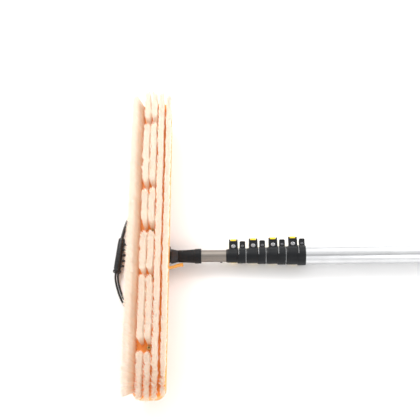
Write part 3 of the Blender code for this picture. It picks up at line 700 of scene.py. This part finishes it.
def build_ear_screw(name, look, body, node, seat, head_r, shank_r, head_height):
    """A cross-head screw down through both ears, with a hex nut below."""
    x, y, _ = middle(node)
    top = seat + 0.0001
    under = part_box(node)[0].z - AXIS_Z
    profile = [(under + 0.0010, 0), (under + 0.0010, shank_r), (top, shank_r)]
    profile += [(top, head_r - 0.0003), (top + 0.0004, head_r)]
    for i in range(7):
        angle = math.radians(90 * i / 6)
        rise = top + 0.0008 + (head_height - 0.0008) * math.sin(angle)
        profile.append((rise, head_r * (0.42 + 0.58 * math.cos(angle))))
    profile.append((top + head_height, 0))
    nut_r = head_r * 0.86
    corners = [math.tau * i / 6 for i in range(6)]
    hexagon = [(x + nut_r * math.cos(a), y + nut_r * math.sin(a)) for a in corners]
    nut = soften(prism(hexagon, "Z", AXIS_Z + under, AXIS_Z + (under + 0.0024)), 0.0003, 1)
    head_z = AXIS_Z + top + head_height
    recess = cross_recess(x, y, head_z - 0.0013, head_z + 0.002, head_r * 0.62, head_r * 0.20)
    screw = turned(profile, (x, y, AXIS_Z), Z_AXIS, 40)
    piece(screw, name, look, body, node, joins=[nut], cuts=recess)


def build_cam_lever(number, pin_y, pin_z):
    """A cam hub on the pin, with an arm that curls in under the ring."""
    low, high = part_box(f"clamp_{number}_lever")
    radius = tube_r[number] + GAP + RING_WALL + 0.0009 + ARM_HALF
    start, end = LEVER_ARC_DEG
    arm = [(pin_y, pin_z)] + [(pin_y + y, pin_z + z) for y, z in LEVER_NECK]
    for i in range(7):
        angle = math.radians(start + (end - start) * i / 6)
        arm.append((radius * math.cos(angle), AXIS_Z - radius * math.sin(angle)))
    arm = flat_route(arm, 0.0012)
    last = len(arm) - 1
    halves = []
    for i in range(last + 1):
        root, tip = max(0.0, 1 - i / 8), max(0.0, 1 - (last - i) / 7)
        halves.append(ARM_HALF + 0.0006 * root + 0.0005 * tip)
    blade = soften(prism(band(arm, halves), "X", low.x, high.x), 0.0006, 2, 50)
    hub = rod((low.x, pin_y, pin_z), (high.x, pin_y, pin_z), 0.0052, 48, 0.0004)
    hole = rod((low.x - 0.001, pin_y, pin_z), (high.x + 0.001, pin_y, pin_z), PIN_HOLE_R, 32)
    name, body = f"clamp_{number}_cam_lever", f"clamp_lever_{number}"
    piece(hub, name, "yellow", body, f"clamp_{number}_lever", joins=[blade], cuts=[hole])


def build_clamp(number):
    """A split ring on the front end of a section, which grips the thinner tube that slides in it."""
    low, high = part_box(f"clamp_{number}_body")
    body = SECTION_OF[number + 1]
    front_r = tube_r[number] + GAP + RING_WALL
    rear_r = tube_r[number + 1] + GAP + RING_WALL
    pin_low, pin_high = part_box(f"clamp_{number}_cam_pin")
    _, pin_y, pin_z = middle(f"clamp_{number}_cam_pin")
    ear_y = pin_y - 0.0022
    collar_x = low.x + RING_STEP + GAP - 0.0010
    shell = [
        (low.x, 0),
        (low.x, front_r - 0.0010),
        (low.x + 0.0036, front_r),
        (collar_x - 0.0010, front_r),
        (collar_x, rear_r),
        (high.x - 0.0008, rear_r),
        (high.x, rear_r - 0.0008),
        (high.x, 0),
    ]
    piece(
        turned(rounded_profile(shell, 0.0005), POLE, X_AXIS, 112),
        f"split_clamp_{number}",
        "clamp",
        body,
        f"clamp_{number}_body",
        joins=clamp_joins(low, pin_y, pin_z, ear_y),
        cuts=clamp_cuts(number, low, high, pin_y, pin_z, ear_y),
    )
    name = f"clamp_{number}"
    screw, small_screw = (SEAT, 0.0044, 0.0024, 0.0027), (REAR_SEAT, 0.0029, 0.0016, 0.0019)
    build_ear_screw(f"{name}_pan_screw", "steel", body, f"{name}_tension_screw", *screw)
    build_ear_screw(f"{name}_small_screw", "dark_steel", body, f"{name}_fixing_screw", *small_screw)
    pin = rod((pin_low.x, pin_y, pin_z), (pin_high.x, pin_y, pin_z), 0.0016, 32, 0.0004)
    piece(pin, f"{name}_peened_pin", "steel", body, f"{name}_cam_pin")
    build_cam_lever(number, pin_y, pin_z)


for number in CLAMPS:
    build_clamp(number)


# -------- tilt joint and bracket

PIVOT_X, PIVOT_Z = 0.005, 0.020
PIVOT_HOLE_R = 0.0033
KNUCKLE_X = 0.0330
BRACKET_SCREW_Y = 0.045
CHEEK = ((-0.009, 0.0), (0.015, 0.0), (0.024, 0.012), (0.026, 0.032), (-0.019, 0.032), (-0.015, 0.012))
LEGS = ((-0.0130, -0.0055, -0.0380, -0.0290), (0.0025, 0.0105, 0.0290, 0.0380))
LOCK_ROUTE = ((0.005, -0.0194), (0.016, -0.0222), (0.028, -0.0219))
LOCK_ROUTE += ((0.038, -0.0200), (0.047, -0.0169), (0.056, -0.0156))


def build_sleeve():
    """The sleeve that joins the first tube to the knuckle, with a groove over and under it."""
    low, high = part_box("adapter_sleeve")
    small, large = 0.0119, (high.y - low.y) / 2
    bore, bore_x = tube_r[1] + GAP, 0.0620
    profile = [
        (low.x, 0),
        (low.x, small - 0.0008),
        (low.x + 0.0008, small),
        (low.x + 0.0150, small + 0.0002),
        (high.x - 0.0125, large - 0.0010),
        (high.x - 0.0120, large - 0.0001),
        (high.x - 0.0008, large),
        (high.x, large - 0.0008),
        (high.x, bore),
        (bore_x, bore),
        (bore_x, 0),
    ]
    grooves = []
    for side in (-1, 1):
        x, z = low.x + 0.024, AXIS_Z + side * 0.0135
        grooves.append(rod((x, -0.02, z), (x, 0.02, z), 0.0014, 24))
    sleeve = turned(rounded_profile(profile, 0.0005), POLE, X_AXIS, 96)
    piece(sleeve, "moulded_sleeve", "black", "section_1", "adapter_sleeve", cuts=grooves)


def pivot_hole():
    return rod((PIVOT_X, -0.03, PIVOT_Z), (PIVOT_X, 0.03, PIVOT_Z), PIVOT_HOLE_R, 40)


def build_knuckle():
    """A knuckle that turns from square to round, and the round-nosed tongue in the bracket."""
    end_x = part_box("angle_joint_tongue")[1].x
    knuckle = loft(
        [
            squircle(KNUCKLE_X, 0.0118, 0.0090, 7),
            squircle(KNUCKLE_X + 0.0008, 0.0126, 0.0098, 6.5),
            squircle(KNUCKLE_X + 0.0040, 0.0122, 0.0104, 5),
            squircle(KNUCKLE_X + 0.0090, 0.0116, 0.0112, 3),
            squircle(end_x, 0.0115, 0.0115, 2),
        ]
    )
    nose_r, root_x = 0.0095, KNUCKLE_X + 0.003
    outline = [(root_x, PIVOT_Z - nose_r), (root_x, PIVOT_Z + nose_r)]
    for i in range(33):
        angle = math.radians(90 + 180 * i / 32)
        outline.append((PIVOT_X + nose_r * math.cos(angle), PIVOT_Z + nose_r * math.sin(angle)))
    tongue = soften(prism(outline, "Y", -0.0079, 0.0079), 0.0006)
    groove_x, groove_z = KNUCKLE_X + 0.0105, AXIS_Z + 0.0125
    groove = rod((groove_x, -0.02, groove_z), (groove_x, 0.02, groove_z), 0.0011, 24)
    cuts = [pivot_hole(), groove]
    piece(knuckle, "moulded_tongue", "grey", "section_1", "angle_joint_tongue", joins=[tongue], cuts=cuts)


def build_stop_button():
    """A round button low on the near side of the first tube."""
    slope = math.radians(62)
    down = Vector((0, -math.sin(slope), -math.cos(slope)))
    seat = Vector((middle("tube_1_stop_button").x, 0, AXIS_Z)) + down * (tube_r[1] + GAP)
    rise, radius = 0.0014, 0.0026
    dome = [math.radians(a) for a in (25, 50, 70)]
    profile = [(0, 0), (0, radius), *((rise * math.sin(a), radius * math.cos(a)) for a in dome), (rise, 0)]
    button = turned(profile, seat, down, 32)
    piece(button, "round_stop_button", "black", "section_1", "tube_1_stop_button")


def build_bracket():
    """A plate and a long strip under the block, two cheeks joined by a bridge, and two legs."""
    low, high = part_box("brush_bracket")
    edge = 0.0006
    plate = slab(-0.0260, 0.0325, -0.017, 0.017, 0.003, 0.030, high.z, edge)
    joins = [slab(-0.014, 0.014, low.y, high.y, 0.012, 0.0312, high.z - 0.0001, edge)]
    for side in (-1, 1):
        joins.append(soften(prism(CHEEK, "Y", *sorted((side * 0.0082, side * 0.0140))), 0.0007))
    joins.append(slab(-0.0085, 0.0015, -0.010, 0.010, 0.001, 0.0001, 0.0036, 0.0004))
    joins += [slab(*leg, 0.0015, 0.0, 0.0330, edge) for leg in LEGS]
    cuts = [upright(0, side * BRACKET_SCREW_Y, 0.02, 0.05, 0.0024) for side in (-1, 1)]
    cuts.append(pivot_hole())
    piece(plate, "moulded_bracket", "black", "brush_head", "brush_bracket", joins=joins, cuts=cuts)


def build_bracket_screw(end, y):
    low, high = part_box(f"bracket_screw_{end}")
    length, shank_r, head_r = high.z - low.z, 0.0021, 0.0044
    profile = [(0, 0), (0, 0.0030), (0.0006, 0.0040), (0.0020, head_r), (0.0028, head_r)]
    profile += [(0.0028, shank_r), (length, shank_r), (length, 0)]
    screw = turned(rounded_profile(profile, 0.0003), (0, y, low.z), Z_AXIS, 40)
    recess = cross_recess(0, y, low.z - 0.001, low.z + 0.0012, 0.0022, 0.0005)
    piece(screw, f"pan_screw_{end}", "steel", "brush_head", f"bracket_screw_{end}", cuts=recess)


def build_gland():
    """The gland that the supply hose comes out of: a nut and a tapering sleeve."""
    low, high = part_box("supply_hose_gland")
    profile = [(0, 0), (0, 0.0052), (0.0006, 0.0058), (0.0040, 0.0058), (0.0050, 0.0046), (0.0062, 0.0046)]
    profile += [(0.0068, 0.0042), (0.0110, 0.0040), (0.0118, 0.0036), (0.0122, 0.0030), (0.0122, 0)]
    start = ((low.x + high.x) / 2, low.y, (low.z + high.z) / 2)
    piece(turned(profile, start, Y_AXIS, 48), "hose_gland", "black", "brush_head", "supply_hose_gland")


def build_tilt_lock():
    """The eye bolt through the joint, the pin in its eye, and the cam lever on the pin."""
    pin_y = middle("tilt_lever_pin").y
    bolt_r, face_y = 0.0030, 0.0143
    profile = [(-0.0170, 0), (-0.0170, bolt_r), (face_y, bolt_r), (face_y, 0.0062)]
    for a in (0, 30, 60, 90):
        angle = math.radians(a)
        profile.append((face_y + 0.0030 + 0.0012 * math.sin(angle), 0.0046 + 0.0016 * math.cos(angle)))
    profile.append((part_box("tilt_pivot_bolt")[1].y, 0))
    bolt = turned(profile, (PIVOT_X, 0, PIVOT_Z), Y_AXIS, 48)
    eye = upright(PIVOT_X, pin_y, PIVOT_Z - 0.0031, PIVOT_Z + 0.0031, 0.0040, 40, 0.0003)
    eye_hole = upright(PIVOT_X, pin_y, PIVOT_Z - 0.01, PIVOT_Z + 0.01, PIN_HOLE_R)
    piece(bolt, "eye_bolt", "steel", "brush_head", "tilt_pivot_bolt", joins=[eye], cuts=[eye_hole])

    low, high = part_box("tilt_lever_pin")
    pin = upright(PIVOT_X, pin_y, low.z, high.z, 0.0016, 32, 0.0003)
    piece(pin, "lock_pin", "steel", "brush_head", "tilt_lever_pin")

    low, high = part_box("tilt_lever")
    line = flat_route(LOCK_ROUTE, 0.0016)
    last = len(line) - 1
    halves = [0.0024 if i < 5 else 0.0015 + 0.0009 * max(0.0, (i - last + 9) / 9) for i in range(last + 1)]
    blade = soften(prism(band(line, halves), "Z", low.z, high.z), 0.0006, 2, 50)
    hub = upright(PIVOT_X, pin_y, low.z, high.z, 0.0050, 48, 0.0004)
    slot_low, slot_high = PIVOT_Z - 0.0034, PIVOT_Z + 0.0034
    slot = rectangle(PIVOT_X - 0.007, PIVOT_X + 0.0045, pin_y - 0.0045, pin_y + 0.007)
    cuts = [
        upright(PIVOT_X, pin_y, slot_low, slot_high, 0.0045, 40),
        prism(slot, "Z", slot_low, slot_high),
        upright(PIVOT_X, pin_y, PIVOT_Z - 0.02, PIVOT_Z + 0.02, PIN_HOLE_R),
    ]
    name, body = "cam_lock_lever", "tilt_lock_lever"
    piece(hub, name, "amber", body, "tilt_lever", joins=[blade], cuts=cuts)


build_sleeve()
build_knuckle()
build_stop_button()
build_bracket()
build_bracket_screw("near", -BRACKET_SCREW_Y)
build_bracket_screw("far", BRACKET_SCREW_Y)
build_gland()
build_tilt_lock()


# -------- brush

TAIL_X = -0.0070
JETS = range(1, 5)
jet_y = {n: middle(f"water_jet_{n}").y for n in JETS}
tail_y = {n: middle(f"jet_hose_tail_{n}").y for n in (1, 2)}


def build_block():
    """The block with its holes for the jets, the bracket's screws and the hose tails."""
    outline = rounded_box(block_low.x, block_high.x, block_low.y, block_high.y, 0.020, 24)
    block = soften(prism(outline, "Z", block_low.z, block_high.z), 0.0022, 5)
    below, above = block_low.z - 0.01, block_high.z + 0.01
    cuts = [upright(0, y, below, above, 0.0018, 24) for y in jet_y.values()]
    for side in (-1, 1):
        cuts.append(upright(0, side * BRACKET_SCREW_Y, below, block_low.z + 0.007, 0.0024, 24))
    cuts += [upright(TAIL_X, y, below, block_low.z + 0.006, 0.0024, 24) for y in tail_y.values()]
    piece(block, "moulded_block", "orange", "brush_head", "brush_block", cuts=cuts)


def build_jet(number):
    """A brass jet: a stem in the block, and a head with a drilled mouth."""
    low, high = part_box(f"water_jet_{number}")
    top, wide = high.z - low.z, (high.x - low.x) / 2
    seat = block_high.z + 0.0026 - low.z
    stem_r, mouth_r = 0.0015, 0.0019
    profile = [(0, 0), (0, stem_r), (seat, stem_r), (seat, wide - 0.0003), (seat + 0.0003, wide)]
    profile += [(top - 0.0012, wide), (top, wide - 0.0012), (top, 0.0024), (top - 0.0005, mouth_r)]
    profile += [(top - 0.0048, mouth_r), (top - 0.0048, 0)]
    jet = turned(profile, (0, jet_y[number], low.z), Z_AXIS, 48)
    piece(jet, f"turned_jet_{number}", "brass", "brush_head", f"water_jet_{number}")


build_block()
for number in JETS:
    build_jet(number)

# Bristles: rows of drilled tufts, each a fan of fine filaments.
ROWS = ("outer_left", "inner_left", "middle", "inner_right", "outer_right")
ROW_PITCH = 0.0125
TIP_LEAN = (-0.0150, -0.0010, 0.0000, 0.0015, 0.0040)
TIP_SPREAD = (0.0044, 0.0054, 0.0054, 0.0052, 0.0048)
TRIM_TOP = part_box("bristle_row_middle")[1].z
TUFT_PITCH = 0.0066
TUFT_R = 0.0032
FILAMENTS = 78
FILAMENT_R = 0.00036
TAPER = 0.25
SEGMENTS = 3
SIDES = 3
# Gaps for the jets in the second and third rows: their places along the brush, and how far the
# tufts beside each gap lean over it.
PARTED_ROWS = (1, 2)
PARTINGS = {0.256: 0.006, 0.118: 0.010, 0.036: 0.016, -0.057: 0.010, -0.191: 0.016}
PARTING_HALF = 0.0058
PARTING_REACH = 0.040
# How far the tufts at the brush's two ends lean out, and over what length that fades.
NEAR_FAN, NEAR_REACH = 0.0165, 0.065
FAR_FAN, FAR_REACH = 0.002, 0.03


def parting_lean(y):
    """How far a tuft leans beside the nearest gap, or None in the gap itself."""
    gap = min(PARTINGS, key=lambda place: abs(place - y))
    away = y - gap
    if abs(away) < PARTING_HALF:
        return None
    lean = PARTINGS[gap] * max(0.0, 1 - (abs(away) - PARTING_HALF) / PARTING_REACH) ** 1.5
    return lean * (-1.0 if away < 0 else 0.2)


def end_lean(y, low_y, high_y):
    """How far a tuft leans out past the brush's ends."""
    far = FAR_FAN * max(0.0, 1 - (high_y - y) / FAR_REACH) ** 2
    return far - NEAR_FAN * max(0.0, 1 - (y - low_y) / NEAR_REACH) ** 1.4


def filament(start, end, curl, turn, power):
    """The points round one filament, ring by ring from its root to its tip."""
    points = []
    for k in range(SEGMENTS + 1):
        t = k / SEGMENTS
        bend = t**power
        centre = start + (end - start) * np.array((bend, bend, t))
        centre[:2] += curl * math.sin(math.pi * t)
        x, y, z = centre
        radius = FILAMENT_R * (1.0 - TAPER * t)
        for side in range(SIDES):
            angle = turn + math.tau * side / SIDES
            points.append((x + radius * math.cos(angle), y + radius * math.sin(angle), z))
    return points


def filament_faces(base):
    faces = []
    for k in range(SEGMENTS):
        for side in range(SIDES):
            a, b = base + SIDES * k + side, base + SIDES * k + (side + 1) % SIDES
            faces.append((a, b, b + SIDES, a + SIDES))
    top = base + SIDES * SEGMENTS
    return faces + [(top, top + 1, top + 2), (base + 2, base + 1, base)]


def build_row(index, name):
    rng = np.random.default_rng(40 + index)
    low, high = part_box(f"bristle_row_{name}")
    root_x, root_z = (index - 2) * ROW_PITCH, block_high.z + 0.0001
    tip_low, tip_high = block_low.x - 0.022, block_high.x + 0.004
    first = low.y + 0.0015
    span = high.y - 0.003 - first
    count = round(span / TUFT_PITCH)
    spread = TIP_SPREAD[index]
    power = 1.25 if index == 0 else 1.0
    verts, faces, tones = [], [], []
    for i in range(count + 1):
        y = first + span * i / count
        fan = parting_lean(y) if index in PARTED_ROWS else 0.0
        if fan is None:
            continue
        fan += end_lean(y, low.y, high.y)
        tuft_lean = TIP_LEAN[index] + rng.normal(0, 0.0006)
        tuft_fan = fan + rng.normal(0, 0.0007)
        for _ in range(FILAMENTS):
            angle = rng.uniform(0, math.tau)
            reach = math.sqrt(rng.uniform(0, 1))
            off_x, off_y = math.cos(angle) * reach, math.sin(angle) * reach
            start = np.array((root_x + off_x * TUFT_R, y + off_y * TUFT_R, root_z))
            splay_x, splay_y = rng.normal(0, 0.0010, 2)
            tip_x = root_x + tuft_lean + off_x * spread + splay_x
            tip_y = y + tuft_fan + off_y * spread * 1.2 + splay_y
            tip_z = TRIM_TOP - abs(rng.normal(0, 0.0006)) - 8.0 * tuft_fan**2
            end = np.array((min(max(tip_x, tip_low), tip_high), tip_y, tip_z))
            curl = rng.normal(0, 0.0006, 2)
            tone = rng.uniform(0, 1)
            turn = rng.uniform(0, math.tau)
            faces += filament_faces(len(verts))
            verts += filament(start, end, curl, turn, power)
            tones += [tone] * (SIDES * (SEGMENTS + 1))
    mesh = bpy.data.meshes.new(f"tufts_{name}")
    mesh.from_pydata(verts, [], faces)
    mesh.attributes.new("tone", "FLOAT", "POINT").data.foreach_set("value", tones)
    mesh.shade_smooth()
    settle(new_object(f"tufts_{name}", mesh), "bristle", "brush_head", f"bristle_row_{name}")


for index, name in enumerate(ROWS):
    build_row(index, name)


# -------- hoses

SUPPLY_R = 0.0032
SPIRAL_RIDGE, SPIRAL_PITCH = 0.0010, 0.0042
JET_HOSE_R = 0.0018
HOSE_SIDES = 20
HOSE_PAIR_HALF = 0.0024
TAIL_Z = 0.0250
CONNECTOR_FAR = Vector((-0.0646, 0.0435, 0.0094))
CONNECTOR_NEAR = Vector((-0.0712, -0.0260, 0.0094))
FIN_STARTS = (0.0100, 0.0212, 0.0324, 0.0436, 0.0548)
FIN_HALF = 0.0042
SUPPLY_ROUTE = (
    (-0.0065, 0.0270, 0.0095),
    (-0.0065, 0.0360, 0.0092),
    (-0.0065, 0.0480, 0.0070),
    (-0.0066, 0.0640, 0.0040),
    (-0.0080, 0.0790, 0.0034),
    (-0.0135, 0.0925, 0.0034),
    (-0.0235, 0.1015, 0.0034),
    (-0.0360, 0.1035, 0.0034),
    (-0.0475, 0.0965, 0.0034),
    (-0.0555, 0.0845, 0.0034),
    (-0.0598, 0.0700, 0.0046),
    (-0.0624, 0.0570, 0.0078),
    (-0.0641, 0.0471, 0.0094),
)
JET_HOSE_ROUTE = (
    (-0.0715, -0.0293, 0.0093),
    (-0.0716, -0.0350, 0.0080),
    (-0.0706, -0.0447, 0.0048),
    (-0.0674, -0.0571, 0.0026),
    (-0.0629, -0.0700, 0.0022),
    (-0.0572, -0.0821, 0.0022),
    (-0.0500, -0.0925, 0.0042),
    (-0.0418, -0.1008, 0.0098),
    (-0.0330, -0.1062, 0.0175),
    (-0.0255, -0.1085, 0.0232),
    (-0.0190, -0.1090, 0.0250),
)
along = (CONNECTOR_NEAR - CONNECTOR_FAR).normalized()
across = Vector((-along.y, along.x, 0)).normalized()


def sweep(points, radius, ridge=0.0):
    """A tube along the points, with a raised spiral of the given height if there is one."""
    bm = bmesh.new()
    rings, walked = [], 0.0
    for i, point in enumerate(points):
        tangent = around(points, i).normalized()
        side = tangent.cross(Vector(Z_AXIS)).normalized()
        over = side.cross(tangent).normalized()
        ring = []
        for k in range(HOSE_SIDES):
            angle = math.tau * k / HOSE_SIDES
            wave = 0.5 + 0.5 * math.cos(math.tau * walked / SPIRAL_PITCH - angle)
            reach = radius + ridge * (wave**2 - 0.6)
            ring.append(bm.verts.new(point + (side * math.cos(angle) + over * math.sin(angle)) * reach))
        rings.append(ring)
        if i + 1 < len(points):
            walked += (points[i + 1] - point).length
    return close_rings(bm, rings)


def beside(route, offset):
    """The route moved sideways."""
    points = [Vector(p) for p in route]
    moved = []
    for i, point in enumerate(points):
        ahead = around(points, i)
        moved.append(point + Vector((-ahead.y, ahead.x, 0)).normalized() * offset)
    return moved


def build_connector():
    """The connector between the hoses: a tapering barrel, a collar at its end and five side fins."""
    length = (CONNECTOR_NEAR - CONNECTOR_FAR).length
    profile = [(0, 0), (0, 0.0050), (0.0008, 0.0060), (0.0020, 0.0064), (0.0050, 0.0064)]
    profile += [(0.0054, 0.0058), (0.0062, 0.0058), (0.0068, 0.0068)]
    profile += [(length - 0.0076, 0.0074), (length - 0.0066, 0.0066), (length - 0.0038, 0.0066)]
    profile += [(length - 0.0032, 0.0082), (length - 0.0008, 0.0082), (length, 0.0074), (length, 0)]
    fins = []
    for start in FIN_STARTS:
        corners = ((start, 0.0), (start, 0.0105), (start + 0.0016, 0.0125), (start + 0.0052, 0.0))
        outline = [tuple((CONNECTOR_FAR + along * a + across * b).xy) for a, b in corners]
        low, high = CONNECTOR_FAR.z - FIN_HALF, CONNECTOR_FAR.z + FIN_HALF
        fins.append(soften(prism(outline, "Z", low, high), 0.0005))
    barrel = turned(profile, CONNECTOR_FAR, along, 56)
    name, node = "ribbed_connector", "hose_connector"
    return piece(barrel, name, "connector", "brush_head", node, joins=fins, sharp=45)


def build_supply_hose(connector):
    points = [Vector(p) for p in SUPPLY_ROUTE]
    points[-1] = CONNECTOR_FAR - along * GAP * 2
    path = smooth_route(points, 0.00045)
    tube = sweep(path, SUPPLY_R, SPIRAL_RIDGE)
    hose = piece(tube, "spiral_supply_hose", "hose", "brush_head", "supply_hose", sharp=60)


def build_jet_hose(number, side):
    """A thin hose from the connector to the elbow tail that takes it up into the block."""
    end_x, end_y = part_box(f"jet_hose_tail_{number}")[0].x, tail_y[number]
    route = beside(JET_HOSE_ROUTE, side * HOSE_PAIR_HALF)
    route[0] = CONNECTOR_NEAR + along * GAP * 2 + across * side * HOSE_PAIR_HALF
    route[-1] = Vector((end_x - GAP * 2, end_y, TAIL_Z))
    route[-2] = Vector((end_x - 0.0070, end_y - side * 0.0004, TAIL_Z - 0.0008))
    path = smooth_route(route, 0.0015)
    tube = sweep(path, JET_HOSE_R)
    hose = piece(tube, f"smooth_jet_hose_{number}", "hose", "brush_head", f"jet_hose_{number}")


def build_elbow_tail(number):
    name, node, y = f"elbow_tail_{number}", f"jet_hose_tail_{number}", tail_y[number]
    profile = [(0, 0), (0, 0.0016), (0.0004, 0.0018), (0.0040, 0.0028), (0.0040, 0.0022)]
    profile += [(0.0080, 0.0030), (0.0120, 0.0030), (0.0140, 0.0022), (0.0140, 0)]
    spigot = turned(profile, (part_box(node)[0].x, y, TAIL_Z), X_AXIS, 32)
    post = upright(TAIL_X, y, TAIL_Z - 0.0034, block_low.z - 2 * GAP, 0.0036, 32, 0.0003)
    stem = upright(TAIL_X, y, TAIL_Z, block_low.z + 0.005, 0.0021, 24)
    piece(spigot, name, "black", "brush_head", node, joins=[post, stem])


build_supply_hose(build_connector())
for number, side in ((1, -1), (2, 1)):
    build_jet_hose(number, side)
    build_elbow_tail(number)


# -------- floor, light and camera


def stage_sheet(name, corners, z, roughness, patches, tones):
    """A flat piece of the set, whose grey wanders between two tones."""
    mesh = bpy.data.meshes.new(name)
    mesh.from_pydata([(x, y, z) for x, y in corners], [], [(0, 1, 2, 3)])
    s = Shader(name, roughness)
    dark, light = ((tone,) * 3 for tone in tones)
    s.colour(s.mix(s.range(s.noise(patches, 2), 0.3, 0.7, 0, 1), dark, light))
    mesh.materials.append(s.mat)
    obj = new_object(name, mesh)
    return obj


def area(name, place, target, size, power, colour=(1.0, 1.0, 1.0)):
    light = bpy.data.lights.new(name, "AREA")
    light.shape = "SQUARE"
    light.size = size
    light.energy = power
    light.color = colour
    obj = new_object(name, light)
    obj.location = place
    obj.rotation_euler = (Vector(target) - Vector(place)).to_track_quat("-Z", "Y").to_euler()


def build_camera():
    look_at, distance = Vector((0.1599, 0.0961, 0.0250)), 1.771
    elevation, turn = math.radians(65.3), math.radians(-0.6)
    data = bpy.data.cameras.new("camera")
    data.lens = 77.5
    data.sensor_width = 36
    data.shift_x = -0.064
    data.clip_start = 0.05
    level = math.cos(elevation)
    back = Vector((math.sin(turn) * level, -math.cos(turn) * level, math.sin(elevation)))
    camera = new_object("camera", data)
    camera.location = look_at + back * distance
    camera.rotation_euler = (math.pi / 2 - elevation, 0, turn)
    bpy.context.scene.camera = camera


stage_sheet("floor", rectangle(-12.0, 12.0, -12.0, 12.0), -0.0003, 0.75, 0.8, (0.93, 0.95))
# A grey card over the set gives the bright tubes something dark to reflect. It isn't seen itself.
card = stage_sheet("mid_card", rectangle(-0.9, 2.7, -1.5, -0.7), 2.4, 0.9, 2.0, (0.10, 0.11))
card.visible_camera = False
area("key", (-0.60, 1.00, 1.15), (0.05, 0.10, 0), 0.9, 17, (1.0, 0.985, 0.965))
area("rim", (0.95, 0.85, 0.80), (0.20, 0.10, 0), 0.7, 9)
area("near_fill", (1.10, -1.05, 0.95), (0.50, -0.10, 0), 0.8, 7)
world = bpy.data.worlds.new("studio")
world.use_nodes = True
world.node_tree.nodes["Background"].inputs["Color"].default_value = (1.0, 1.0, 1.0, 1.0)
world.node_tree.nodes["Background"].inputs["Strength"].default_value = 1.0
bpy.context.scene.world = world
bpy.context.scene.view_settings.view_transform = "Standard"
build_camera()
